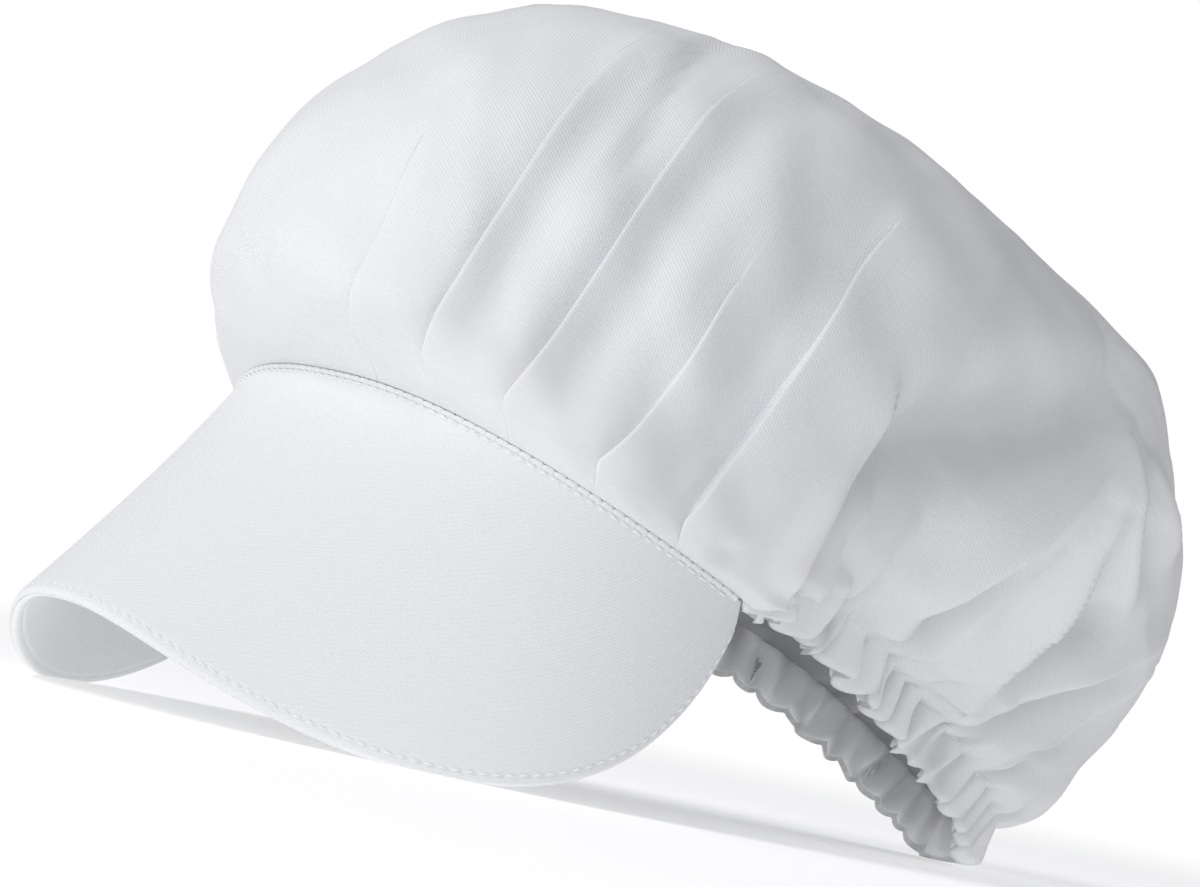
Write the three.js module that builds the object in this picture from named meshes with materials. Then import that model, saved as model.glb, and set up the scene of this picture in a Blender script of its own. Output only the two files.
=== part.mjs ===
// Peaked bouffant work cap: pleated crown, cloth-covered peak, gathered elastic hem.
// Millimetres, +Z up, peak towards -Y, the wearer's left is +X.
// It rests on the peak's two corners and the nape.
import * as THREE from "three";

// peak's seam
const TEMPLE_HALF_WIDTH = 73.1;
const TEMPLE_HEIGHT = 44.8;
const SEAM_RUN = 63.8;
const SEAM_TILT = 25.5;
const SEAM_SAG = 3.6;
const SEAM_SQUARE = 0.85;
// where the seam stops, of a quarter turn
const SEAM_END = 0.985;

// peak
const PEAK_LENGTH = 75;
const PEAK_ROUND = [3.17, 1.31];
const PEAK_GAP = 0.7;
const PEAK_CLOTH = 1.2;
const CLEARANCE = 0.3;
// pressed edge outside the peak's top stitching
const FLANGE = 2.2;
const FLANGE_CLOTH = 0.8;
const PEAK_COLUMNS = 32;
const PEAK_SPREAD = 0.94;
const PEAK_ROWS = [0, 0.2, 0.42, 0.64, 0.82, 0.95, 1];

// elastic hem
const HEM_HEIGHT = 11;
const HEM_THICKNESS = 3.2;
const HEM_FLARE = 0.18;
const HEM_START = 0.01;
// where the casing has risen to its whole height
const HEM_FULL = 0.12;
const HEM_LEAST = 0.35;
// how far the nape is pressed flat by the surface it rests on
const NAPE_PRESS = 0.8;
const HEM_GATHERS = 18;
const HEM_SECTIONS = 112;
const GATHER_PUFF = 1.3;
const GATHER_DROP = 1;
const GATHER_RISE = 2.6;
const HEM_GAP = 0.4;

// bottom edge of the hem from temple to nape: the curve's four handles
const HEM_CURVE = [
  { x: 73.1, y: 0, z: 44.8 },
  { x: 0, y: 74.6, z: 41 },
  { x: 26.7, y: 121.1, z: 0 },
  { x: 0, y: 121.1, z: 0 },
];

// round the casing: out in shares of the half thickness, up in shares of the height,
// and how much a gather moves it
const CASING = [
  { out: -0.2, up: 0, gather: 0.2 },
  { out: 0.55, up: 0.02, gather: 0.5 },
  { out: 1, up: 0.3, gather: 1 },
  { out: 0.9, up: 0.72, gather: 0.8 },
  { out: 0.3, up: 1, gather: 0.1 },
  { out: -0.4, up: 1, gather: -0.1 },
  { out: -1, up: 0.7, gather: -0.8 },
  { out: -1, up: 0.25, gather: -0.6 },
];

// crown's smooth form: a full, slightly square egg whose back hangs low
const CROWN_MIDDLE = [0, 39.5, 51];
const CROWN_PITCH = 23.5;
const CROWN_HALF_WIDTH = 75;
const CROWN_HALF_LENGTH = 129;
const CROWN_RISE = 93;
const CROWN_DROP = 38;
const CROWN_TOP_LEAN = 6;
// 1 is an ellipsoid, less is squarer
const CROWN_FULL = 0.84;
// how quickly the cloth leaves the rim for the egg
const CROWN_TUCK = 3;
const CROWN_WALL = 1.6;
// swelling over the peak's seam
const CROWN_BROW = 3.4;
const BROW_REACH = 0.26;
const BROW_RISE = 0.14;
const BROW_SPREAD = 0.15;
const BROW_START = 0.08;
// the temples' corner is blurred as the cloth rises
const RIM_BLUR = 0.05;
const RIM_BLEND = 0.3;
const RIM_SOFT_STEPS = 240;

// middle of the whole cap in plan
const CENTRE = [0, 23.59];

// turned edge between crown and peak
const WELT_RADIUS = 0.7;
const WELT_SECTIONS = 44;
const WELT_POINTS = 5;
const WELT_REACH = 0.985;

// knife pleats along the half seam: place on the rim, how they lean and bend as they rise,
// depth of the step, where they run out, and their share on the wearer's right
const PLEATS = [
  { at: 0.045, lean: 0.26, bend: -0.62, depth: 1.3, end: 0.5, far: 0 },
  { at: 0.107, lean: 0.16, bend: -0.34, depth: 3.4, end: 0.72, far: 0 },
  { at: 0.17, lean: 0.15, bend: -0.32, depth: 3.6, end: 0.74, far: 0.2 },
  { at: 0.246, lean: 0.12, bend: -0.3, depth: 3.0, end: 0.5, far: 0.6 },
  { at: 0.326, lean: -0.01, bend: -0.08, depth: 4.0, end: 0.68, far: 0.8 },
];
const PLEAT_HALF = 0.7;
const LEAN_TOP = 0.65;

// folds: path over the crown (rim place and rise at start, middle and end), height (below 0 a
// hollow) and half width
const FOLDS = [
  { t0: 0.15, s0: 0.12, t1: 0.143, s1: 0.33, t2: 0.118, s2: 0.62, height: -3.4, width: 6 },
  { t0: 0.21, s0: 0.12, t1: 0.195, s1: 0.38, t2: 0.162, s2: 0.68, height: -3.8, width: 7 },
  { t0: 0.295, s0: 0.1, t1: 0.288, s1: 0.33, t2: 0.265, s2: 0.55, height: -3.2, width: 6 },
  { t0: 0.4, s0: 0.33, t1: 0.6, s1: 0.32, t2: 0.72, s2: 0.62, height: -10, width: 13 },
  { t0: 0.47, s0: 0.25, t1: 0.555, s1: 0.21, t2: 0.63, s2: 0.3, height: -5, width: 12 },
  { t0: 0.655, s0: 0.005, t1: 0.652, s1: 0.22, t2: 0.7, s2: 0.52, height: 9, width: 8.5 },
  { t0: 0.728, s0: 0.01, t1: 0.69, s1: 0.09, t2: 0.677, s2: 0.2, height: -4, width: 5 },
  { t0: 0.742, s0: 0.005, t1: 0.7, s1: 0.11, t2: 0.682, s2: 0.25, height: 4, width: 5 },
  { t0: 0.823, s0: 0.005, t1: 0.74, s1: 0.12, t2: 0.69, s2: 0.34, height: 7.8, width: 6.8 },
  { t0: 0.765, s0: 0.08, t1: 0.765, s1: 0.16, t2: 0.8, s2: 0.28, height: -8.5, width: 8.5 },
  { t0: 0.79, s0: 0.06, t1: 0.8, s1: 0.19, t2: 0.855, s2: 0.32, height: 5, width: 6.5 },
  { t0: 0.685, s0: 0.46, t1: 0.712, s1: 0.33, t2: 0.785, s2: 0.25, height: 4.8, width: 5.5 },
  { t0: 0.712, s0: 0.46, t1: 0.75, s1: 0.41, t2: 0.82, s2: 0.38, height: 3.7, width: 5.5 },
  { t0: 0.735, s0: 0.39, t1: 0.75, s1: 0.33, t2: 0.8, s2: 0.3, height: -4.5, width: 6 },
  { t0: 0.9, s0: 0.005, t1: 0.855, s1: 0.12, t2: 0.865, s2: 0.28, height: 5, width: 6 },
  { t0: 0.87, s0: 0.03, t1: 0.83, s1: 0.12, t2: 0.845, s2: 0.26, height: -4.5, width: 6 },
  { t0: 0.94, s0: 0.005, t1: 0.917, s1: 0.1, t2: 0.91, s2: 0.22, height: 3.5, width: 5.5 },
  { t0: 0.425, s0: 0.005, t1: 0.415, s1: 0.16, t2: 0.405, s2: 0.32, height: 3.2, width: 4.5 },
  { t0: 0.44, s0: 0.02, t1: 0.46, s1: 0.17, t2: 0.5, s2: 0.23, height: -4.5, width: 5 },
  { t0: 0.52, s0: 0.005, t1: 0.5, s1: 0.1, t2: 0.535, s2: 0.2, height: 3.6, width: 4.5 },
  { t0: 0.585, s0: 0.005, t1: 0.585, s1: 0.09, t2: 0.6, s2: 0.17, height: 3.2, width: 4.5 },
  { t0: 0.66, s0: 0.6, t1: 0.735, s1: 0.635, t2: 0.8, s2: 0.64, height: 3.4, width: 9 },
];
const FAR_SHIFT = 0.012;
const FAR_SHARE = 0.85;
const PATH_STEPS = 12;

// rings of the crown's mesh: rise from the rim, points round the ring
const RINGS = [
  { rise: 0, points: 166 },
  { rise: 0.02, points: 166 },
  { rise: 0.05, points: 158 },
  { rise: 0.09, points: 142 },
  { rise: 0.14, points: 126 },
  { rise: 0.2, points: 112 },
  { rise: 0.26, points: 102 },
  { rise: 0.32, points: 94 },
  { rise: 0.39, points: 86 },
  { rise: 0.46, points: 78 },
  { rise: 0.53, points: 70 },
  { rise: 0.6, points: 62 },
  { rise: 0.68, points: 52 },
  { rise: 0.76, points: 42 },
  { rise: 0.84, points: 30 },
  { rise: 0.91, points: 20 },
  { rise: 0.965, points: 10 },
];

// central difference along q, s or the seam
const STEP = 0.004;
const RIM_STEPS = 240;

const clamp = (x, low, high) => Math.min(high, Math.max(low, x));
const rad = (degrees) => (degrees * Math.PI) / 180;
const vec = (x, y, z) => new THREE.Vector3(x, y, z);
const mix = (a, b, u) => a + (b - a) * u;
const mirror = (p, side) => (side < 0 ? vec(-p.x, p.y, p.z) : p);

function ease(x) {
  const u = clamp(x, 0, 1);
  return u * u * (3 - 2 * u);
}

// the rim runs along the peak's seam, then along the hem
function seamPoint(turn) {
  const s = Math.sin(turn);
  const c = Math.cos(turn);
  const run = SEAM_RUN * c;
  const sag = SEAM_SAG * s * s * c;
  return vec(
    TEMPLE_HALF_WIDTH * Math.sign(s) * Math.abs(s) ** SEAM_SQUARE,
    -run * Math.cos(rad(SEAM_TILT)),
    TEMPLE_HEIGHT + run * Math.sin(rad(SEAM_TILT)) - sag,
  );
}

function hemPoint(b) {
  const weights = [(1 - b) ** 3, 3 * (1 - b) ** 2 * b, 3 * (1 - b) * b * b, b ** 3];
  const p = vec(0, 0, 0);
  HEM_CURVE.forEach((handle, i) => p.addScaledVector(vec(handle.x, handle.y, handle.z), weights[i]));
  p.z -= NAPE_PRESS * ease((b - 0.6) / 0.4);
  return p;
}

function hemFrame(b) {
  const along = hemPoint(Math.min(1, b + STEP)).sub(hemPoint(Math.max(0, b - STEP))).normalize();
  const out = vec(along.y, -along.x, 0).normalize();
  const up = vec(0, 0, 1).addScaledVector(out, HEM_FLARE);
  up.addScaledVector(along, -up.dot(along)).normalize();
  // the casing's top rises from the peak's seam to its whole height
  return { point: hemPoint(b), out, up, high: HEM_HEIGHT * ease(b / HEM_FULL) };
}

function rimTable() {
  const points = [];
  for (let i = 0; i <= RIM_STEPS; i++) {
    points.push(seamPoint(((i / RIM_STEPS) * SEAM_END * Math.PI) / 2));
  }
  for (let i = 1; i <= RIM_STEPS; i++) {
    const b = i / RIM_STEPS;
    const { point, up, high } = hemFrame(b);
    points.push(point.addScaledVector(up, high + HEM_GAP * ease(b / 0.02)));
  }
  const reach = [0];
  for (let i = 1; i < points.length; i++) {
    reach.push(reach[i - 1] + points[i].distanceTo(points[i - 1]));
  }
  const length = reach[reach.length - 1];
  const at = reach.map((r) => r / length);
  return { points, at, length, temple: at[RIM_STEPS] };
}
const RIM = rimTable();

// the pair of neighbours in a rising list that hold x, and the share between them
function bracket(list, x) {
  let low = 0;
  let high = list.length - 1;
  while (high - low > 1) {
    const middle = (low + high) >> 1;
    if (list[middle] > x) {
      high = middle;
    } else {
      low = middle;
    }
  }
  return { low, high, share: clamp((x - list[low]) / (list[high] - list[low]), 0, 1) };
}

function rimPoint(t) {
  const { low, high, share } = bracket(RIM.at, t);
  return RIM.points[low].clone().lerp(RIM.points[high], share);
}

// crown without folds, q from -1 (nape) past 0 (front) to 1 (nape), s from 0 (rim) to 1 (top)
const MIDDLE = vec(...CROWN_MIDDLE);
const AFT = vec(0, Math.cos(rad(CROWN_PITCH)), -Math.sin(rad(CROWN_PITCH)));
const UPRIGHT = vec(0, Math.sin(rad(CROWN_PITCH)), Math.cos(rad(CROWN_PITCH)));
const LEAN_AFT = [Math.cos(rad(CROWN_TOP_LEAN)), -Math.sin(rad(CROWN_TOP_LEAN))];
const LEAN_UP = [Math.sin(rad(CROWN_TOP_LEAN)), Math.cos(rad(CROWN_TOP_LEAN))];

// the egg's point in the direction given by an angle from its top and one round it
function eggPoint(fall, round) {
  const x = Math.sin(fall) * Math.sin(round);
  const a = -Math.sin(fall) * Math.cos(round);
  const c = Math.cos(fall);
  const y = a * LEAN_AFT[0] + c * LEAN_UP[0];
  const z = a * LEAN_AFT[1] + c * LEAN_UP[1];
  const power = 2 / CROWN_FULL;
  const size = (Math.abs(x) ** power + Math.abs(y) ** power + Math.abs(z) ** power) ** (-1 / power);
  const p = MIDDLE.clone().add(vec(x * size * CROWN_HALF_WIDTH, 0, 0));
  p.addScaledVector(AFT, y * size * CROWN_HALF_LENGTH);
  return p.addScaledVector(UPRIGHT, z * size * (z > 0 ? CROWN_RISE : CROWN_DROP));
}

// the two angles at which the egg lies towards a rim point, and the way from the egg to it
function rimPull(rim) {
  const d = rim.clone().sub(MIDDLE);
  const high = d.dot(UPRIGHT);
  const x = d.x / CROWN_HALF_WIDTH;
  const l = vec(x, d.dot(AFT) / CROWN_HALF_LENGTH, high / (high > 0 ? CROWN_RISE : CROWN_DROP)).normalize();
  const turn = Math.atan2(l.x, -(l.y * LEAN_AFT[0] + l.z * LEAN_AFT[1]));
  const round = turn < -Math.PI / 2 ? turn + 2 * Math.PI : turn;
  const fall = Math.acos(clamp(l.y * LEAN_UP[0] + l.z * LEAN_UP[1], -1, 1));
  return { fall, round, pull: rim.clone().sub(eggPoint(fall, round)) };
}

// the same blurred along the rim; the blur sees the other half as a mirror image
function softRim() {
  const plain = [];
  for (let i = 0; i <= RIM_SOFT_STEPS; i++) {
    plain.push(rimPull(rimPoint(i / RIM_SOFT_STEPS)));
  }
  const spread = RIM_BLUR * RIM_SOFT_STEPS;
  const reach = Math.round(3 * spread);
  return plain.map((_, i) => {
    const sum = { fall: 0, round: 0, pull: vec(0, 0, 0) };
    let total = 0;
    for (let k = -reach; k <= reach; k++) {
      const weight = Math.exp(-0.5 * (k / spread) ** 2);
      const j = i + k;
      const inside = j < 0 ? -j : RIM_SOFT_STEPS - Math.abs(RIM_SOFT_STEPS - j);
      const side = j === inside ? 1 : -1;
      const { fall, round, pull } = plain[inside];
      sum.fall += fall * weight;
      sum.round += (side * round + (j > inside ? 2 * Math.PI : 0)) * weight;
      sum.pull.addScaledVector(mirror(pull, side), weight);
      total += weight;
    }
    return { fall: sum.fall / total, round: sum.round / total, pull: sum.pull.divideScalar(total) };
  });
}
const SOFT_RIM = softRim();

function smoothCrown(q, s) {
  const turned = q - 2 * Math.floor((q + 1) / 2);
  const side = turned < 0 ? -1 : 1;
  const t = Math.abs(turned);
  const { fall, round, pull } = rimPull(rimPoint(t));
  const place = clamp(t * RIM_SOFT_STEPS, 0, RIM_SOFT_STEPS);
  const low = Math.min(RIM_SOFT_STEPS - 1, Math.floor(place));
  const share = place - low;
  const a = SOFT_RIM[low];
  const b = SOFT_RIM[low + 1];
  const blend = ease(s / RIM_BLEND);
  pull.lerp(a.pull.clone().lerp(b.pull, share), blend);
  const softFall = mix(fall, mix(a.fall, b.fall, share), blend);
  const softRound = mix(round, mix(a.round, b.round, share), blend);
  const p = eggPoint(softFall * (1 - s), softRound).addScaledVector(pull, (1 - s) ** CROWN_TUCK);
  const forward = Math.cos((clamp(t / BROW_REACH, 0, 1) * Math.PI) / 2) ** 2;
  const swell = Math.exp(-(((s - BROW_RISE) / BROW_SPREAD) ** 2)) * ease(s / BROW_START);
  const brow = CROWN_BROW * swell * forward;
  return mirror(p.addScaledVector(p.clone().sub(MIDDLE).normalize(), brow), side);
}

// pleats of both sides along q, with the temples
const FAR_PLEATS = PLEATS.filter((p) => p.far > 0)
  .map((p) => ({ at: -p.at, lean: -p.lean, bend: -p.bend }));
const LEAN_END = RIM.temple + 0.03;
const LEAN_KNOTS = [
  { at: -LEAN_END, lean: 0, bend: 0 },
  ...FAR_PLEATS.reverse(),
  ...PLEATS,
  { at: LEAN_END, lean: 0, bend: 0 },
];

// a place on the rim carried up along the pleats
function lean(q, s) {
  if (Math.abs(q) >= LEAN_END) {
    return q;
  }
  const k = Math.min(s, LEAN_TOP);
  const { low, high, share } = bracket(LEAN_KNOTS.map((knot) => knot.at), q);
  const a = LEAN_KNOTS[low];
  const b = LEAN_KNOTS[high];
  return q + mix(a.lean, b.lean, share) * k + mix(a.bend, b.bend, share) * k * k;
}

function crownNormal(q, s) {
  const k = Math.min(s, 0.985);
  const a = smoothCrown(q + STEP, k).sub(smoothCrown(q - STEP, k));
  const b = smoothCrown(q, Math.min(1, k + STEP)).sub(smoothCrown(q, Math.max(0, k - STEP)));
  return a.cross(b).normalize();
}

// paths of the folds on both sides
function foldPaths() {
  const paths = [];
  FOLDS.forEach((f, row) => {
    for (const side of [1, -1]) {
      const shift = side < 0 ? FAR_SHIFT * Math.sin(5 * row + 1) : 0;
      const tm = 2 * f.t1 - (f.t0 + f.t2) / 2;
      const sm = 2 * f.s1 - (f.s0 + f.s2) / 2;
      const line = [];
      for (let i = 0; i <= PATH_STEPS; i++) {
        const u = i / PATH_STEPS;
        const a = (1 - u) ** 2;
        const b = 2 * u * (1 - u);
        const c = u * u;
        line.push(smoothCrown(side * (a * f.t0 + b * tm + c * f.t2 + shift), a * f.s0 + b * sm + c * f.s2));
      }
      paths.push({ line, height: f.height * (side < 0 ? FAR_SHARE : 1), width: f.width });
    }
  });
  return paths;
}
const PATHS = foldPaths();

// height·exp(-(d/width)²)·√sin(πu) of every fold, d the distance from its path at place u
function foldHeight(p) {
  let sum = 0;
  const seg = vec(0, 0, 0);
  const rel = vec(0, 0, 0);
  for (const f of PATHS) {
    let best = Infinity;
    let place = 0;
    for (let i = 0; i < PATH_STEPS; i++) {
      seg.subVectors(f.line[i + 1], f.line[i]);
      rel.subVectors(p, f.line[i]);
      const u = clamp(rel.dot(seg) / seg.lengthSq(), 0, 1);
      const d = rel.addScaledVector(seg, -u).length();
      if (d < best) {
        best = d;
        place = (i + u) / PATH_STEPS;
      }
    }
    const end = Math.sqrt(Math.sin(Math.PI * clamp(place, 0.02, 0.98)));
    sum += f.height * Math.exp(-((best / f.width) ** 2)) * end;
  }
  return sum;
}

// a panel sinks towards the next pleat's edge
function pleatDepth(q, s) {
  const t = Math.abs(q);
  let from = 0;
  for (const p of PLEATS) {
    if (t < p.at) {
      const share = ((t - from) / (p.at - from)) ** 1.6;
      const rise = 0.3 + 0.7 * ease(s / 0.14);
      const fade = 1 - ease((s - 0.45 * p.end) / (0.55 * p.end));
      return -p.depth * (q < 0 ? p.far : 1) * share * rise * fade;
    }
    from = p.at;
  }
  return 0;
}

// gathers over the hem, one for two of the casing's, dying out at uneven heights
function gatherDepth(q, s) {
  const t = (Math.abs(q) - RIM.temple) / (1 - RIM.temple);
  if (t <= 0) {
    return 0;
  }
  const wave = 0.5 + 0.5 * Math.cos(Math.PI * HEM_GATHERS * t + 1.1 * Math.sin(9 * t));
  const run = 0.11 + 0.05 * Math.sin(17 * t + q);
  return -GATHER_RISE * wave * ease(t / 0.05) * ease(s / 0.02) * (1 - ease((s - 0.02) / run));
}

function crownPoint(q, s, wall) {
  const b = lean(q, s);
  const p = smoothCrown(b, s);
  const rise = ease(s / 0.04) * (1 - ease((s - 0.8) / 0.2));
  const height = pleatDepth(q, s) + gatherDepth(q, s) + foldHeight(p) * rise;
  return p.addScaledVector(crownNormal(b, s), height - wall);
}

// a closed body from points and triangles, turned so that its faces look outwards
function body(name, positions, faces, colour) {
  let volume = 0;
  for (const [a, b, c] of faces) {
    volume += positions[a].dot(positions[b].clone().cross(positions[c]));
  }
  const flat = positions.flatMap((p) => [p.x - CENTRE[0], p.y - CENTRE[1], p.z]);
  const index = faces.flatMap(([a, b, c]) => (volume < 0 ? [a, c, b] : [a, b, c]));
  const geometry = new THREE.BufferGeometry();
  geometry.setAttribute("position", new THREE.Float32BufferAttribute(flat, 3));
  geometry.setIndex(index);
  geometry.computeVertexNormals();
  const mesh = new THREE.Mesh(geometry, new THREE.MeshStandardMaterial({ color: colour, roughness: 0.9 }));
  mesh.name = name;
  return mesh;
}

// places round one ring: both lips of every open pleat, the temples, and the rest spread evenly
function ringPlaces(count, s) {
  const step = PLEAT_HALF / RIM.length;
  const marks = new Set([0, 1, RIM.temple, -RIM.temple]);
  for (const p of PLEATS.filter((pleat) => s <= pleat.end)) {
    for (const side of p.far > 0 ? [1, -1] : [1]) {
      marks.add(side * (p.at - step));
      marks.add(side * (p.at + step));
    }
  }
  const list = [...marks].sort((a, b) => a - b);
  const spare = count - list.length;
  const places = [];
  list.forEach((mark, i) => {
    const next = i + 1 < list.length ? list[i + 1] : list[0] + 2;
    const gap = next - mark;
    const dense = Math.abs((mark + next) / 2) > RIM.temple ? 1.12 : 0.8;
    const extra = gap < 3 * step ? 0 : Math.max(1, Math.round((spare * gap * dense) / 2));
    for (let k = 0; k <= extra; k++) {
      places.push(mark + (gap * k) / (extra + 1));
    }
  });
  return places.map((x) => (x > 1 ? x - 2 : x)).sort((a, b) => a - b);
}

// triangles between two rings with different numbers of points
function zip(a, b, faces, flip) {
  let i = 0;
  let j = 0;
  while (i < a.n || j < b.n) {
    const nextA = i + 1 < a.n ? a.places[i + 1] : a.places[0] + 2;
    const nextB = j + 1 < b.n ? b.places[j + 1] : b.places[0] + 2;
    const onA = a.start + (i % a.n);
    const onB = b.start + (j % b.n);
    let third;
    if (j >= b.n || (i < a.n && nextA <= nextB)) {
      i++;
      third = a.start + (i % a.n);
    } else {
      j++;
      third = b.start + (j % b.n);
    }
    faces.push(flip ? [onA, onB, third] : [onA, third, onB]);
  }
}

// outer and inner cloth face, joined at the rim
function crown() {
  const positions = [];
  const faces = [];
  const rims = [];
  for (const wall of [0, CROWN_WALL]) {
    let before = null;
    for (const { rise, points } of RINGS) {
      const places = ringPlaces(points, rise);
      const ring = { places, start: positions.length, n: places.length };
      places.forEach((q) => positions.push(crownPoint(q, rise, wall)));
      if (before) {
        zip(before, ring, faces, wall > 0);
      } else {
        rims.push(ring);
      }
      before = ring;
    }
    const top = positions.length;
    positions.push(crownPoint(0, 1, wall));
    for (let i = 0; i < before.n; i++) {
      const a = before.start + i;
      const b = before.start + ((i + 1) % before.n);
      faces.push(wall > 0 ? [a, top, b] : [a, b, top]);
    }
  }
  const [outer, inner] = rims;
  for (let i = 0; i < outer.n; i++) {
    const j = (i + 1) % outer.n;
    faces.push([outer.start + i, inner.start + i, outer.start + j]);
    faces.push([outer.start + j, inner.start + i, inner.start + j]);
  }
  return body("crown", positions, faces, 0xf1f2f5);
}

// a strip of closed sections, each a loop of the same number of points, capped at both ends
function tube(name, sections, colour) {
  const m = sections[0].length;
  const faces = [];
  for (let i = 0; i + 1 < sections.length; i++) {
    for (let k = 0; k < m; k++) {
      const a = i * m + k;
      const b = i * m + ((k + 1) % m);
      faces.push([a, a + m, b], [b, a + m, b + m]);
    }
  }
  const last = (sections.length - 1) * m;
  for (let k = 1; k + 1 < m; k++) {
    faces.push([0, k, k + 1], [last, last + k + 1, last + k]);
  }
  return body(name, sections.flat(), faces, colour);
}

// way from the seam to the peak's edge: down and forwards in front, steeper and outwards at the temples
function peakDirection(turn) {
  const s = Math.sin(turn);
  const back = 1 - Math.cos(turn);
  return vec(-0.08 * s + 0.76 * s ** 3, -0.705 + 0.24 * back, -0.71 - 2.49 * back).normalize();
}

function peakLength(t) {
  return PEAK_LENGTH * Math.max(0, 1 - Math.abs(t) ** PEAK_ROUND[0]) ** (1 / PEAK_ROUND[1]);
}

function peakPoint(t, r) {
  const turn = (t * Math.PI) / 2;
  return seamPoint(turn).addScaledVector(peakDirection(turn), PEAK_GAP + peakLength(t) * r);
}

function peakNormal(t, r) {
  const k = clamp(t, -SEAM_END + 2 * STEP, SEAM_END - 2 * STEP);
  const a = peakPoint(k + STEP, r).sub(peakPoint(k - STEP, r));
  return peakDirection((k * Math.PI) / 2).cross(a).normalize();
}

// one point of a cloth of the peak; away is its distance from the middle between both cloths
function clothPoint(t, row, away) {
  const length = peakLength(t);
  const edge = FLANGE / length;
  const r = row === 1 ? 1 : row * (1 - Math.min(0.5, edge));
  const thin = ease((1 - r) / Math.max(0.02, edge));
  const pressed = (FLANGE_CLOTH + CLEARANCE / 2) / (PEAK_CLOTH + CLEARANCE / 2);
  const scale = Math.abs(away) < CLEARANCE ? 1 : mix(pressed, 1, thin);
  const p = peakPoint(t, r).addScaledVector(peakNormal(t, r), away * scale - PEAK_CLOTH - CLEARANCE / 2);
  p.z = Math.max(p.z, 0);
  return p;
}

// one cloth of the peak, a thin sheet from the seam to the edge
function peakSheet(name, top, bottom, colour) {
  const w = PEAK_ROWS.length;
  const count = (PEAK_COLUMNS + 1) * w;
  const positions = [];
  for (const away of [top, bottom]) {
    for (let i = 0; i <= PEAK_COLUMNS; i++) {
      const x = ((2 * i) / PEAK_COLUMNS - 1) * PEAK_SPREAD * (Math.PI / 2);
      const t = (SEAM_END * Math.sin(x)) / Math.sin(PEAK_SPREAD * (Math.PI / 2));
      PEAK_ROWS.forEach((row) => positions.push(clothPoint(t, row, away)));
    }
  }
  const id = (under, i, j) => under * count + i * w + j;
  const faces = [];
  const quad = (a, b, c, d) => faces.push([a, b, c], [c, b, d]);
  for (let i = 0; i < PEAK_COLUMNS; i++) {
    for (let j = 0; j + 1 < w; j++) {
      quad(id(0, i, j), id(0, i, j + 1), id(0, i + 1, j), id(0, i + 1, j + 1));
      quad(id(1, i, j), id(1, i + 1, j), id(1, i, j + 1), id(1, i + 1, j + 1));
    }
    quad(id(0, i, 0), id(0, i + 1, 0), id(1, i, 0), id(1, i + 1, 0));
    quad(id(0, i, w - 1), id(1, i, w - 1), id(0, i + 1, w - 1), id(1, i + 1, w - 1));
  }
  for (let j = 0; j + 1 < w; j++) {
    quad(id(0, 0, j), id(1, 0, j), id(0, 0, j + 1), id(1, 0, j + 1));
    const last = PEAK_COLUMNS;
    quad(id(0, last, j), id(0, last, j + 1), id(1, last, j), id(1, last, j + 1));
  }
  return body(name, positions, faces, colour);
}

// turned edge in the corner between crown and peak
function weltSection(t) {
  const turn = (t * Math.PI) / 2;
  const q = (Math.abs(t) / SEAM_END) * RIM.temple;
  const up = mirror(smoothCrown(q, 0.01).sub(smoothCrown(q, 0)).normalize(), t);
  const down = peakDirection(turn);
  const out = up.clone().add(down).normalize();
  const along = seamPoint(turn + 0.01).sub(seamPoint(turn - 0.01)).normalize();
  const side = along.cross(out).normalize();
  const half = Math.acos(clamp(up.dot(down), -1, 1)) / 2;
  const centre = seamPoint(turn).addScaledVector(out, (WELT_RADIUS + CLEARANCE) / Math.sin(half));
  const loop = [];
  for (let k = 0; k < WELT_POINTS; k++) {
    const a = (k / WELT_POINTS) * Math.PI * 2;
    const p = centre.clone().addScaledVector(out, WELT_RADIUS * Math.cos(a));
    loop.push(p.addScaledVector(side, WELT_RADIUS * Math.sin(a)));
  }
  return loop;
}

function welt() {
  const sections = [];
  for (let i = 0; i <= WELT_SECTIONS; i++) {
    sections.push(weltSection(SEAM_END * WELT_REACH * ((2 * i) / WELT_SECTIONS - 1)));
  }
  return tube("seam_welt", sections, 0xeef0f4);
}

// gathered casing of the elastic, temple to temple round the nape
function hemSection(b, side) {
  const { point, out, up, high: top } = hemFrame(b);
  const high = Math.max(top, HEM_LEAST * HEM_HEIGHT);
  const base = point.addScaledVector(up, top - high - HEM_GAP * (1 - ease(b / 0.02)));
  const wave = Math.sin(2 * Math.PI * HEM_GATHERS * b + 1.3 * Math.sin(11 * b));
  const drop = Math.max(0, GATHER_DROP * wave * ease((1 - b) / 0.06 + 0.2));
  return CASING.map((row) => {
    const away = (row.out * HEM_THICKNESS) / 2 + row.gather * GATHER_PUFF * wave;
    const p = base.clone().addScaledVector(out, away);
    p.addScaledVector(up, row.up * high - (row.up < 0.1 ? drop : 0));
    p.z = Math.max(p.z, 0);
    return mirror(p, side);
  });
}

function hemCasing() {
  const half = [];
  for (let i = 0; i <= HEM_SECTIONS; i++) {
    half.push(mix(HEM_START, 1, i / HEM_SECTIONS));
  }
  const left = half.map((b) => hemSection(b, 1));
  const right = half.slice(0, -1).reverse().map((b) => hemSection(b, -1));
  return tube("elastic_hem", [...left, ...right], 0xe9ebf0);
}

const FULL = PEAK_CLOTH + CLEARANCE / 2;
const cap = new THREE.Group();
cap.name = "peaked_work_cap";
cap.add(crown());
cap.add(welt());
cap.add(peakSheet("peak_top", FULL, CLEARANCE / 2, 0xe6e8ee));
cap.add(peakSheet("peak_underside", -CLEARANCE / 2, -FULL, 0xdfe1e8));
cap.add(hemCasing());
export default cap;
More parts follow.
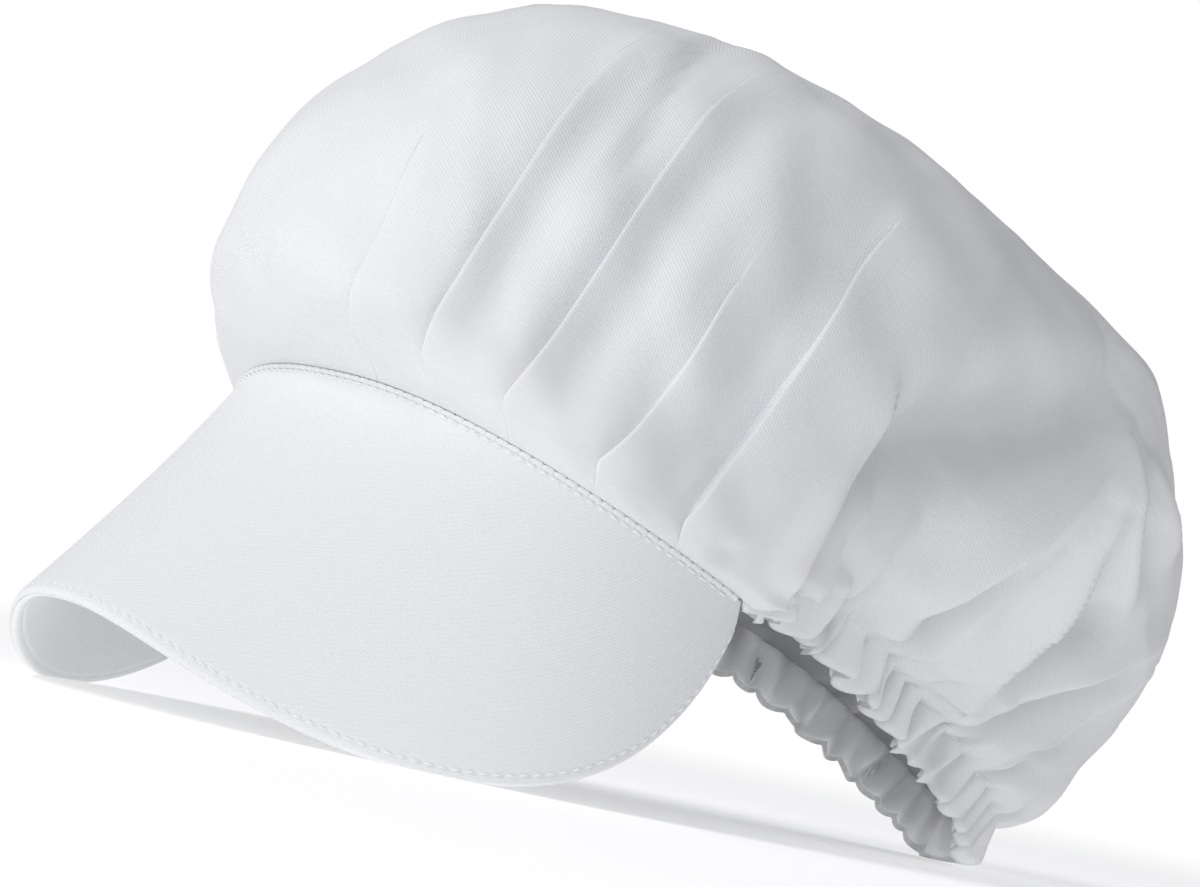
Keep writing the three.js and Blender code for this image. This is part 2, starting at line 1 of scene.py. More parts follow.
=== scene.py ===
"""Looks of a peaked bouffant work cap: pleated crown, stitched peak, gathered hem, thread and a pale stage.

Shapes are worked out in millimetres, uncentred: the middle of the temple line is x = y = 0 and the surface
that the cap rests on is z = 0. to_frame() carries them to the frame, in metres. The wearer's left is +X and
the peak is at -Y.
"""
import math
from collections import namedtuple

import bpy
import numpy as np
from bpy.props import FloatProperty, FloatVectorProperty, IntProperty, PointerProperty
from mathutils import Matrix, Vector


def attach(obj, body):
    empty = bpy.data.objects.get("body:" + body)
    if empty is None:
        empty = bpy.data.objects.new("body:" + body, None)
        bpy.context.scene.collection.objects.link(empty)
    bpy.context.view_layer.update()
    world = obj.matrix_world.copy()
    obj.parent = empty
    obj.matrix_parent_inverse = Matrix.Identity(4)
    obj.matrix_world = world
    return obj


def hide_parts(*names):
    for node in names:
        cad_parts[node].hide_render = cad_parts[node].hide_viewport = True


bl_info = {
    "name": "Peaked Bouffant Work Cap",
    "version": (1, 0, 0),
    "blender": (4, 5, 0),
    "location": "View3D > Sidebar > Cap",
    "description": "Cloth, stitches and stage of a peaked bouffant work cap",
    "category": "Object",
}

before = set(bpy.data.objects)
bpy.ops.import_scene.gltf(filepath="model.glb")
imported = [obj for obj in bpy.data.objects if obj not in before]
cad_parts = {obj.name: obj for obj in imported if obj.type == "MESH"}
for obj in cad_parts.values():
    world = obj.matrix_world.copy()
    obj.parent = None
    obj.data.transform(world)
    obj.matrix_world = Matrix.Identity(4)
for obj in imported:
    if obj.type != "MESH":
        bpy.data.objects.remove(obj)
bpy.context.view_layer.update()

# a small step in a place, for directions and normals
STEP = 0.004

# peak's seam and rim
TEMPLE_HALF_WIDTH = 73.1
TEMPLE_HEIGHT = 44.8
SEAM_RUN = 63.8
SEAM_TILT = math.radians(25.5)
SEAM_SAG = 3.6
SEAM_SQUARE = 0.85
SEAM_END = 0.985
CLEARANCE = 0.3
RIM_STEPS = 240
CENTRE = (0.0, 23.59, 0.0)

# peak
PEAK_LENGTH = 75.0
PEAK_ROUND = (3.17, 1.31)
PEAK_GAP = 0.7
PEAK_CLOTH = 1.2
FLANGE = 2.2
FLANGE_CLOTH = 0.8

# elastic hem, bottom edge from temple to nape
HEM_CURVE = np.array([[73.1, 0, 44.8], [0, 74.6, 41], [26.7, 121.1, 0], [0, 121.1, 0]])
HEM_HEIGHT = 11.0
HEM_THICKNESS = 3.2
HEM_START = 0.01
HEM_FULL = 0.12
HEM_FLARE = 0.18
NAPE_PRESS = 0.8
CASING_GAP = CLEARANCE + 0.1
CASING_GAP_OPENS = 0.02

# crown's smooth form
CROWN_MIDDLE = np.array([0, 39.5, 51])
CROWN_PITCH = math.radians(23.5)
CROWN_HALF_WIDTH = 75.0
CROWN_HALF_LENGTH = 129.0
CROWN_RISE = 93.0
CROWN_DROP = 38.0
EQUATOR_BLEND = 0.3
CROWN_TOP_LEAN = math.radians(6)
CROWN_FULL = 0.84
CROWN_TUCK = 3
CROWN_BROW = 3.4
BROW_REACH = 0.26
BROW_RISE = 0.14
BROW_SPREAD = 0.15
BROW_START = 0.08
NORMAL_TOP = 0.985
RIM_BLUR = 0.05
RIM_BLUR_STEPS = 600
RIM_BLEND = 0.3
CROWN_WALL = 1.2
CROWN_SPAN = 210.0

# turned edge along the seam
WELT_RADIUS = 0.62
WELT_DOWN = 0.85
WELT_LIFT = 0.1
WELT_END = 0.985
WELT_PINCH = 0.3
PINCH_WIDTH = 0.13
WELT_PLACES = 1500
WELT_SIDES = 12

# knife pleats: place on the rim, how they lean and bend as they rise, depth, where they run out, and their
# share on the far side
Pleat = namedtuple("Pleat", "at lean bend depth end far")
PLEATS = [
    Pleat(0.045, 0.26, -0.62, 1.3, 0.5, 0.0),
    Pleat(0.107, 0.16, -0.34, 3.4, 0.72, 0.0),
    Pleat(0.17, 0.15, -0.32, 3.6, 0.74, 0.05),
    Pleat(0.246, 0.12, -0.30, 3.0, 0.5, 0.6),
    Pleat(0.326, -0.01, -0.08, 4.0, 0.68, 0.8),
]

# a fold's path over the crown (rim place and rise at start, middle and end), its height (below 0 a hollow),
# the half width before and behind it, and its crest: 0 is a round bell, above 0 a tent raised to that power
Fold = namedtuple("Fold", "t0 s0 t1 s1 t2 s2 height front back crest")
FOLDS = [
    Fold(0.143, 0.05, 0.137, 0.33, 0.10, 0.62, -4.4, 6, 7, 0),
    Fold(0.21, 0.05, 0.197, 0.38, 0.162, 0.68, -3.8, 7, 7, 0),
    Fold(0.295, 0.04, 0.288, 0.33, 0.265, 0.55, -3.2, 6, 6, 0),
    Fold(0.40, 0.33, 0.60, 0.32, 0.72, 0.62, -11, 13, 11, 0),
    Fold(0.47, 0.25, 0.555, 0.21, 0.63, 0.30, -5.0, 12, 12, 0),
    Fold(0.655, 0.005, 0.652, 0.22, 0.70, 0.52, 11.0, 12, 16, 1.7),
    Fold(0.728, 0.01, 0.69, 0.09, 0.677, 0.20, -7.0, 5, 4.5, 0),
    Fold(0.742, 0.005, 0.70, 0.11, 0.682, 0.25, 5.0, 7, 9, 1.5),
    Fold(0.823, 0.005, 0.74, 0.12, 0.69, 0.34, 9.5, 9.5, 12, 1.7),
    Fold(0.765, 0.08, 0.765, 0.16, 0.80, 0.28, -9.0, 10, 8, 0),
    Fold(0.79, 0.06, 0.80, 0.19, 0.855, 0.32, 6.6, 8, 10, 1.6),
    Fold(0.685, 0.46, 0.712, 0.33, 0.785, 0.25, 6.0, 10, 11, 1.7),
    Fold(0.712, 0.46, 0.745, 0.41, 0.795, 0.385, 4.5, 9, 11, 1.6),
    Fold(0.735, 0.39, 0.75, 0.33, 0.80, 0.30, -4.5, 6, 6, 0),
    Fold(0.90, 0.005, 0.855, 0.12, 0.865, 0.28, 6.8, 7.5, 9, 1.7),
    Fold(0.87, 0.03, 0.83, 0.12, 0.845, 0.26, -5.5, 5.5, 5.5, 0),
    Fold(0.94, 0.005, 0.917, 0.10, 0.91, 0.22, 5.0, 6.5, 8, 1.6),
    Fold(0.425, 0.005, 0.415, 0.16, 0.405, 0.32, 4.0, 7, 8, 1.5),
    Fold(0.44, 0.02, 0.46, 0.17, 0.50, 0.23, -5.0, 5, 5, 0),
    Fold(0.52, 0.005, 0.50, 0.10, 0.535, 0.20, 4.5, 7, 8, 1.5),
    Fold(0.585, 0.005, 0.585, 0.09, 0.60, 0.17, 4.0, 7, 8, 1.5),
    Fold(0.66, 0.60, 0.735, 0.635, 0.80, 0.64, 4.0, 16, 18, 1.4),
]
CREASES = [
    Fold(0.005, 0.05, 0.04, 0.16, 0.028, 0.30, 0.5, 5, 14, 1.3),
    Fold(-0.02, 0.02, -0.005, 0.2, -0.045, 0.36, 0.4, 5, 14, 1.3),
    Fold(0.15, 0.39, 0.135, 0.52, 0.06, 0.71, -2.2, 3, 9, 1.3),
    Fold(0.356, 0.015, 0.36, 0.06, 0.368, 0.10, -2.0, 3, 5, 1.3),
]

# folds and creases: how the far side differs, how they end, and where on the crown they begin and stop
FAR_SHIFT = 0.012
FAR_PHASE = 5
FAR_SHARE = 0.85
CREST_ROUND = 0.05
PATH_STEPS = 16
PATH_FIRST = 0.02
PATH_REACH = 3
TENT_ENDS = 0.5
BELL_ENDS = 0.9
RELIEF_START = 0.04
RELIEF_TOP = 0.8

# how the pleats lean, open and fade
LEAN_TOP = 0.65
LEAN_PAST = 0.03
PLEAT_AT_RIM = 0.3
PLEAT_OPENS = 0.14
PANEL_CURVE = 1.6
PANEL_FADE = 0.45
TUCK_FADE = 0.4
TUCK_FADE_RUN = 0.5
TUCK_FULL = 0.6
LEAST_CLOTH = 0.45


def ease(x):
    """Smooth step: 3x² - 2x³ between 0 and 1."""
    x = np.clip(x, 0, 1)
    return x * x * (3 - 2 * x)


def from_share(share, x):
    """From a share at x = 0 smoothly up to 1 at x = 1."""
    return share + (1 - share) * ease(x)


def unit(v):
    """Vectors of length 1."""
    return v / np.linalg.norm(v, axis=-1, keepdims=True)


def run_along(path):
    """Length from the start of a path to each of its points."""
    return np.concatenate([[0], np.cumsum(np.linalg.norm(np.diff(path, axis=0), axis=1))])


def table_at(x, places, table):
    """Rows of a table at the places x, each column interpolated."""
    return np.stack([np.interp(x, places, column) for column in table.T], -1)


def to_frame(points):
    """Millimetres about the temple line to metres in the row frame."""
    return (np.asarray(points) - CENTRE) / 1000


def mirrored(points, side):
    """x times the side, so that one half's formula serves both."""
    return points * np.stack([side, np.ones_like(side), np.ones_like(side)], -1)


def seam_point(turn):
    """Peak's seam as the crown meets it.

    x = W·sgn(sin)·|sin|^0.85, y = -RUN·cos·cos(tilt), z = H + RUN·cos·sin(tilt) - SAG·sin²·cos.
    """
    s, c = np.sin(turn), np.cos(turn)
    return np.stack([
        TEMPLE_HALF_WIDTH * np.sign(s) * np.abs(s) ** SEAM_SQUARE,
        -SEAM_RUN * c * math.cos(SEAM_TILT),
        TEMPLE_HEIGHT + SEAM_RUN * c * math.sin(SEAM_TILT) - SEAM_SAG * s * s * c,
    ], -1)


def hem_point(b):
    """Hem's bottom edge: a cubic Bezier from temple (b = 0) to nape (1).

    It is pressed down by 0.8·ease((b - 0.6)/0.4).
    """
    b = np.asarray(b, float)
    w = np.stack([(1 - b) ** 3, 3 * (1 - b) ** 2 * b, 3 * (1 - b) * b * b, b ** 3], -1)
    p = w @ HEM_CURVE
    p[..., 2] -= NAPE_PRESS * ease((b - 0.6) / 0.4)
    return p


def hem_along(b):
    """Hem's direction towards the nape."""
    return unit(hem_point(np.minimum(1, b + STEP)) - hem_point(np.maximum(0, b - STEP)))


def hem_frame(b):
    """Hem's point, its level outward direction, its upward direction square to the edge, and its height."""
    along = hem_along(b)
    out = unit(np.stack([along[..., 1], -along[..., 0], 0 * b], -1))
    up = np.array([0, 0, 1.0]) + HEM_FLARE * out
    up = unit(up - (up * along).sum(-1, keepdims=True) * along)
    return hem_point(b), out, up, HEM_HEIGHT * ease(b / HEM_FULL)


def rim_table(n=RIM_STEPS):
    """Points of the half rim, front to nape, the share of its length at each, and that length.

    Also the temple's share of it, and each point's place along the hem.
    """
    seam = seam_point(np.linspace(0, SEAM_END * math.pi / 2, n + 1))
    b = np.linspace(0, 1, n + 1)[1:]
    point, _, up, high = hem_frame(b)
    top = point + up * (high + CASING_GAP * ease(b / CASING_GAP_OPENS))[:, None]
    points = np.concatenate([seam, top])
    reach = run_along(points)
    along_hem = np.concatenate([np.zeros(n + 1), b])
    return points, reach / reach[-1], reach[-1], reach[n] / reach[-1], along_hem


RIM, RIM_AT, RIM_LENGTH, TEMPLE, RIM_HEM = rim_table()


def rim_point(t):
    """The rim at a share t of its half length."""
    return table_at(t, RIM_AT, RIM)


def hem_share(t):
    """Place along the hem, 0 at the temple and 1 at the nape, of a rim place."""
    return np.interp(t, RIM_AT[RIM_STEPS:], RIM_HEM[RIM_STEPS:])


def rim_share(b):
    """Rim place of a place along the hem."""
    return np.interp(b, RIM_HEM[RIM_STEPS:], RIM_AT[RIM_STEPS:])


AFT = np.array([0, math.cos(CROWN_PITCH), -math.sin(CROWN_PITCH)])
UPRIGHT = np.array([0, math.sin(CROWN_PITCH), math.cos(CROWN_PITCH)])
LEAN_AFT = (math.cos(CROWN_TOP_LEAN), -math.sin(CROWN_TOP_LEAN))
LEAN_UP = (math.sin(CROWN_TOP_LEAN), math.cos(CROWN_TOP_LEAN))


def egg_point(fall, turn):
    """Superellipsoid |x|^e + |y|^e + |z|^e = 1 with e = 2/0.84, at a fall from its top and a turn about it.

    Its half height goes over from CROWN_RISE above the equator to CROWN_DROP below it by a tanh.
    """
    x = np.sin(fall) * np.sin(turn)
    a, c = -np.sin(fall) * np.cos(turn), np.cos(fall)
    y, z = (a * LEAN_AFT[k] + c * LEAN_UP[k] for k in (0, 1))
    e = 2 / CROWN_FULL
    size = (np.abs(x) ** e + np.abs(y) ** e + np.abs(z) ** e) ** (-1 / e)
    rise = CROWN_DROP + (CROWN_RISE - CROWN_DROP) * (0.5 + 0.5 * np.tanh(z * size / EQUATOR_BLEND))
    aft = (y * size * CROWN_HALF_LENGTH)[..., None] * AFT
    upward = (z * size * rise)[..., None] * UPRIGHT
    return CROWN_MIDDLE + np.stack([x * size * CROWN_HALF_WIDTH, 0 * x, 0 * x], -1) + aft + upward


def rim_angles(rim):
    """Fall from the egg's top and turn about it at which the egg's surface lies towards a rim point."""
    d = rim - CROWN_MIDDLE
    high = d @ UPRIGHT
    half_height = np.where(high > 0, CROWN_RISE, CROWN_DROP)
    way = np.stack([d[..., 0] / CROWN_HALF_WIDTH, d @ AFT / CROWN_HALF_LENGTH, high / half_height], -1)
    x, y, z = np.moveaxis(unit(way), -1, 0)
    turn = np.arctan2(x, -(y * LEAN_AFT[0] + z * LEAN_AFT[1]))
    turn = np.where(turn < -math.pi / 2, turn + 2 * math.pi, turn)
    return np.arccos(np.clip(y * LEAN_UP[0] + z * LEAN_UP[1], -1, 1)), turn


def soft_rim(n=RIM_BLUR_STEPS):
    """Pull (rim less egg), fall and turn round the whole rim, blurred by a Gaussian.

    The blur keeps the rim's corners at the temples from sending creases upwards. Turn is blurred less πq,
    which comes round to itself.
    """
    q = np.arange(-n, n + 1) / n
    side = np.where(q < 0, -1.0, 1.0)
    rim = rim_point(np.abs(q))
    fall, turn = rim_angles(rim)
    pull = mirrored(rim - egg_point(fall, turn), side)
    table = np.column_stack([pull, fall, turn * side - math.pi * q])[:-1]
    reach = int(3 * RIM_BLUR * n)
    kernel = np.exp(-0.5 * (np.arange(-reach, reach + 1) / (RIM_BLUR * n)) ** 2)
    ring = np.concatenate([table[-reach:], table, table[:reach]])
    soft = np.stack([np.convolve(ring[:, k], kernel / kernel.sum(), "valid") for k in range(5)], -1)
    soft = np.concatenate([soft, soft[:1]])
    soft[:, 4] += math.pi * q
    return q, soft


SOFT_AT, SOFT = soft_rim()


def smooth_crown(q, s):
    """Crown without folds: egg(fall·(1 - s), turn) + pull·(1 - s)³, and a swelling over the brow.

    pull is rim - egg; with fall and turn it goes over into its blurred form above the rim. q runs from -1
    (nape) past 0 (front) to 1 (nape), s from 0 (rim) to 1 (top).
    """
    q, s = np.broadcast_arrays(np.asarray(q, float), np.asarray(s, float))
    q = (q + 1) % 2 - 1
    t, side = np.abs(q), np.where(q < 0, -1.0, 1.0)
    rim = rim_point(t)
    fall, turn = rim_angles(rim)
    hard = np.concatenate([rim - egg_point(fall, turn), np.stack([fall, turn], -1)], -1)
    blend = ease(s / RIM_BLEND)[..., None]
    form = hard * (1 - blend) + table_at(t, SOFT_AT, SOFT) * blend
    p = egg_point(form[..., 3] * (1 - s), form[..., 4]) + form[..., :3] * ((1 - s) ** CROWN_TUCK)[..., None]
    brow = CROWN_BROW * np.exp(-((s - BROW_RISE) / BROW_SPREAD) ** 2) * ease(s / BROW_START)
    brow = brow * np.cos(np.clip(t / BROW_REACH, 0, 1) * math.pi / 2) ** 2
    return mirrored(p + unit(p - CROWN_MIDDLE) * brow[..., None], side)


def crown_normal(q, s):
    """Outward normal of the smooth crown, from small steps along q and s."""
    k = np.minimum(s, NORMAL_TOP)
    a = smooth_crown(q + STEP, k) - smooth_crown(q - STEP, k)
    b = smooth_crown(q, np.minimum(1, k + STEP)) - smooth_crown(q, np.maximum(0, k - STEP))
    return unit(np.cross(a, b))


def lean(q, s):
    """Rim place carried up along the pleats: q + lean·k + bend·k², in proportion between two pleats."""
    k = np.minimum(s, LEAN_TOP)
    far = [p for p in reversed(PLEATS) if p.far]
    end = TEMPLE + LEAN_PAST

    def between(field, ends):
        """A field of the pleats, with its sign turned on the far side."""
        far_values = [-getattr(p, field) for p in far]
        return [-ends, *far_values, *[getattr(p, field) for p in PLEATS], ends]

    at = between("at", end)
    return q + np.interp(q, at, between("lean", 0)) * k + np.interp(q, at, between("bend", 0)) * k * k


def nearest_on(path, points, normals):
    """Each point's distance from a path, its place along it from 0 to 1, and the sine of its angle to it."""
    best, place, hand = np.full(len(points), np.inf), np.zeros(len(points)), np.zeros(len(points))
    for i, (start, end) in enumerate(zip(path, path[1:])):
        way = end - start
        rel = points - start
        k = np.clip(rel @ way / (way @ way), 0, 1)
        off = rel - k[:, None] * way
        d = np.linalg.norm(off, axis=1)
        turn = (np.cross(way, off) * normals).sum(1) / (np.linalg.norm(way) * np.maximum(d, 1e-9))
        closer = d < best
        best = np.where(closer, d, best)
        place = np.where(closer, (i + k) / (len(path) - 1), place)
        hand = np.where(closer, turn, hand)
    return best, place, np.clip(hand, -1, 1)


def fold_relief(points, normals, folds):
    """Sum of height·profile(d/width)·sin(πu)^k over the folds, d being the distance from the path at place u.

    The width goes over from the front one to the back one by the sine of the angle to the path. The profile
    is the bell exp(-x²), with k = 0.9, or the tent (1 - |x|)^crest with its ridge a little rounded, with
    k = 0.5. Each fold is repeated on the far side, lower and shifted.
    """
    total = np.zeros(points.shape[:-1])
    u = np.linspace(0, 1, PATH_STEPS + 1)
    a, b, c = (1 - u) ** 2, 2 * u * (1 - u), u * u
    for row, f in enumerate(folds):
        tm, sm = 2 * f.t1 - (f.t0 + f.t2) / 2, 2 * f.s1 - (f.s0 + f.s2) / 2
        for side, share in ((1, 1), (-1, FAR_SHARE)):
            shift = FAR_SHIFT * math.sin(FAR_PHASE * row + 1) if side < 0 else 0
            path = smooth_crown(side * (a * f.t0 + b * tm + c * f.t2 + shift), a * f.s0 + b * sm + c * f.s2)
            middle = path.mean(0)
            reach = np.linalg.norm(path - middle, axis=1).max() + PATH_REACH * max(f.front, f.back)
            near = np.linalg.norm(points - middle, axis=-1) < reach
            best, place, hand = nearest_on(path, points[near], normals[near])
            x = best / ((f.front + f.back) / 2 + (f.front - f.back) / 2 * hand * side)
            if f.crest:
                shape = np.clip(1 + CREST_ROUND - np.sqrt(x * x + CREST_ROUND ** 2), 0, 1) ** f.crest
            else:
                shape = np.exp(-x * x)
            inside = np.clip(place, PATH_FIRST, 1 - PATH_FIRST)
            ends = np.sin(math.pi * inside) ** (TENT_ENDS if f.crest else BELL_ENDS)
            total[near] += f.height * share * shape * ends
    return total


def pleat_opening(s):
    """How far the pleats have opened at a rise: 0.3 + 0.7·ease(s/0.14)."""
    return from_share(PLEAT_AT_RIM, s / PLEAT_OPENS)


def pleat_sink(q, s):
    """How far a panel sinks towards the next pleat: depth·share^1.6, gone at the pleat's end."""
    t = np.abs(q)
    sink = np.zeros(np.broadcast(q, s).shape)
    start = 0
    for p in PLEATS:
        share = np.clip((t - start) / (p.at - start), 0, 1) ** PANEL_CURVE
        fade = 1 - ease((s - PANEL_FADE * p.end) / ((1 - PANEL_FADE) * p.end))
        depth = p.depth * np.where(q < 0, p.far, 1)
        sink += np.where((t >= start) & (t < p.at), depth * share * pleat_opening(s) * fade, 0)
        start = p.at
    return sink


# gathers: how unevenly they lie, where their hollows are, how far up they reach, and how they wander
GATHER_SEED = 11
GATHER_JITTER = 0.28
GATHER_CROWD = 0.35
GATHER_HOLLOW = (0.35, 0.65)
GATHER_LAST = 0.3
SHORT_SHARE = 0.35
SHORT_RISE = (14, 22)
LONG_RISE = (28, 50)
GATHER_STEEP = (1.0, 1.35)
GATHER_DRIFT = 0.016
DRIFT_RISE = 20
GATHER_SWAY = (0.5, 1.4)
SWAY_SIZE = 0.009
SWAY_RISE = 4.5
GATHER_SWELL = 0.25
SWELL_RISE = 4
GATHER_SHARP = 1.45
GATHER_WIDENS = 24
GATHER_MEAN = 1.9
MEAN_RISE = 25
GATHER_TOP = 170
GATHER_MARGIN = 0.4
ONSET = 0.004
ONSET_LEAN = 0.003
ONSET_RUN = 0.05
ONSET_WIDENS = 0.0044
NAPE_GATHER = 0.65
NAPE_SHARE = 0.35
ANY_PHASE = 6.3
Ridges = namedtuple("Ridges", "at height near off rise drift sway phase")


def gather_ridges(count):
    """The gathers from the left temple (0) past the nape (1) to the right one (2).

    They crowd towards the nape: place + 0.35·sin(π·place)/π. Each has a place, a height, a way to the hollow
    on either side, a rise, and three numbers for its wandering.
    """
    draw = np.random.default_rng(GATHER_SEED)
    n = 2 * count
    at = (np.arange(n) + 0.5 + draw.uniform(-GATHER_JITTER, GATHER_JITTER, n)) / count
    at = at + GATHER_CROWD / math.pi * np.sin(math.pi * at)
    hollow = at[:-1] + (at[1:] - at[:-1]) * draw.uniform(*GATHER_HOLLOW, n - 1)
    hollow = np.concatenate([[-GATHER_LAST / count], hollow, [2 + GATHER_LAST / count]])
    short = draw.uniform(size=n) < SHORT_SHARE
    rise = np.where(short, draw.uniform(*SHORT_RISE, n), draw.uniform(*LONG_RISE, n))
    near, off = at - hollow[:-1], hollow[1:] - at
    height = draw.uniform(*GATHER_STEEP, n) * np.minimum(near, off) * (1 - TEMPLE) * RIM_LENGTH
    drift = draw.uniform(-GATHER_DRIFT, GATHER_DRIFT, n)
    return Ridges(at, height, near, off, rise, drift, draw.uniform(*GATHER_SWAY, n),
                  draw.uniform(0, ANY_PHASE, n))


def round_hem(q):
    """Share of the hem from its temple, below 0 on the seam, and place from 0 to 2 along the whole hem."""
    tau = (np.abs(q) - TEMPLE) / (1 - TEMPLE)
    return tau, np.where(q < 0, 2 - tau, tau)


def gather_relief(q, rise, sizes):
    """Gathers: each ridge is height·(1 + 0.25·sin(rise/4 + 2·phase))·exp(-(1.45x)²)·exp(-(rise/length)²).

    x is the way from the crest in shares of the way to the hollow. rise is the distance up from the casing's
    top in millimetres, below 0 inside the casing. A ridge wanders as it rises, widens and dies out. The
    gathers set in gradually at the temple and are lower at the nape. A mean is taken off.
    """
    q, rise = np.broadcast_arrays(np.asarray(q, float), np.asarray(rise, float))
    total = np.zeros(q.shape)
    tau, place = round_hem(q)
    here = (tau > -GATHER_MARGIN) & (rise < GATHER_TOP)
    tau, x, low = tau[here], place[here], rise[here]
    v = np.maximum(low, 0)
    part = np.zeros(x.shape)
    for at, height, near, off, length, drift, sway, phase in zip(*gather_ridges(sizes.gathers)):
        wander = sway * SWAY_SIZE * (np.sin(low / SWAY_RISE + phase) - math.sin(phase))
        middle = at + drift * v / DRIFT_RISE + wander
        across = (x - middle) / (np.where(x < middle, near, off) * (1 + v / GATHER_WIDENS))
        swell = height * (1 + GATHER_SWELL * np.sin(low / SWELL_RISE + 2 * phase))
        part += swell * np.exp(-(GATHER_SHARP * across) ** 2 - (v / length) ** 2)
    start = ease((tau - ONSET + ONSET_LEAN * v) / (ONSET_RUN + ONSET_WIDENS * v))
    calm = from_share(NAPE_GATHER, (1 - tau) / NAPE_SHARE)
    total[here] = (part - GATHER_MEAN * np.exp(-v / MEAN_RISE)) * start * calm
    return total * sizes.gather_height


# the hem's lobes, and the slack of loose cloth
LOBE_FULL = 0.42
LOBE_ROUND = 0.7
SLACK_SEED = 5
SLACK_LENGTHS = np.linspace(16, 45, 9)
SLACK_STEEP = 0.007


def gather_lobe(q, sizes):
    """How far the hem's edge hangs under each gather: (1 - x²)^0.7, less for a narrow gather."""
    _, place = round_hem(q)
    total = np.zeros(np.shape(q))
    ridges = gather_ridges(sizes.gathers)
    for at, near, off in zip(ridges.at, ridges.near, ridges.off):
        across = (place - at) / np.where(place < at, near, off)
        wide = min(1, min(near, off) * sizes.gathers / LOBE_FULL)
        total = np.maximum(total, wide * np.clip(1 - across ** 2, 0, 1) ** LOBE_ROUND)
    return total


def slack_relief(points):
    """Slack of loose cloth: nine sine waves of 16 to 45 mm through space, in seeded directions."""
    draw = np.random.default_rng(SLACK_SEED)
    total = np.zeros(points.shape[:-1])
    for length in SLACK_LENGTHS:
        way = unit(draw.normal(size=3)) * (2 * math.pi / length)
        bent = draw.uniform(0, ANY_PHASE) + np.sin(points @ way[[1, 2, 0]])
        total += SLACK_STEEP * length * np.sin(points @ way + bent)
    return total


# across a pleat: sideways place in shares of the tuck's depth, plus millimetres, and height from the sunk
# panel (-1) to the panel on top (0), with the top panel's own thickness in millimetres
TUCK = [
    # share, mm, height, thickness
    (0.0, -0.6, -1.0, 0.0),
    (0.3, 0.0, -1.0, 0.0),
    (0.7, 0.0, -0.97, 0.0),
    (1.0, 0.0, -0.8, 0.3),
    (0.8, 0.0, -0.35, 0.55),
    (0.3, 0.0, -0.1, 0.6),
    (0.0, -0.25, 0.0, 0.6),
    (0.0, -0.55, 0.0, 0.35),
    (0.0, -0.4, 0.0, 0.08),
    (0.0, 0.25, 0.0, 0.0),
]

# the crown's grid: half width of a pleat's columns, room beside them, and its columns and rows
TUCK_HALF = 0.9
TUCK_CLEAR = 0.5
COLUMN_STEP = 1.8
HEM_COLUMNS = 250
CROWN_ROWS = 98
INNER_ROWS = 22
ROWS_CROWD = 1.35
INNER_ROWS_CROWD = 1.5

# the crown's edge: its seat on the seam, its rows over the casing, and its inner wall
SEAM_LAP = 0.3
SEAM_RAISE = 0.35
SEAM_TURN = 0.4
SEAT_FADE = 0.075
HEM_ONSET = 0.004
HEM_ROWS = 16
LIP_ROWS = 0.3
LIP_LOW = -0.02
LIP_RISE = 0.12
LIP_INWARD = 0.3
LIP_INWARD_RUN = 0.2
LAP_OUT = 1.02
LAP_TOP = 0.86
LAP_START = 0.3
INNER_LAP = 0.07
INNER_GAP = 0.3
INNER_SINK = 0.9
INNER_SINK_RISE = 30


def crown_columns():
    """Places round the rim: plain ones, closer together on the hem, and ten across each pleat's edge.

    Gives each column's rim place, its sideways place when open, its pleat and its row of the tuck.
    """
    half = []
    seam = np.arange(0, TEMPLE, COLUMN_STEP / RIM_LENGTH)
    hem = np.linspace(TEMPLE, 1, HEM_COLUMNS)
    clear = (TUCK_HALF + TUCK_CLEAR) / RIM_LENGTH
    for t in np.concatenate([seam, hem]):
        if min(abs(t - p.at) for p in PLEATS) > clear:
            half.append((t, 0.0, -1, 0))
    for index, p in enumerate(PLEATS):
        for row in range(len(TUCK)):
            open_x = TUCK_HALF * (2 * row / (len(TUCK) - 1) - 1)
            half.append((p.at, open_x, index, row))
    half.sort(key=lambda c: (c[0], c[3]))
    far = [(-t, x, i, r) for t, x, i, r in reversed(half) if 0 < t < 1]
    return far + half


def seam_seat(q, normal, wall):
    """Where the crown's edge lies against the turned edge along the peak's seam."""
    turn = q / TEMPLE * SEAM_END * math.pi / 2
    place = np.clip(q / TEMPLE * SEAM_END, -SEAM_END, SEAM_END)
    over = peak_normal(place, np.zeros(q.shape))
    return seam_point(turn) + peak_direction(turn) * SEAM_LAP + over * SEAM_RAISE - normal * wall


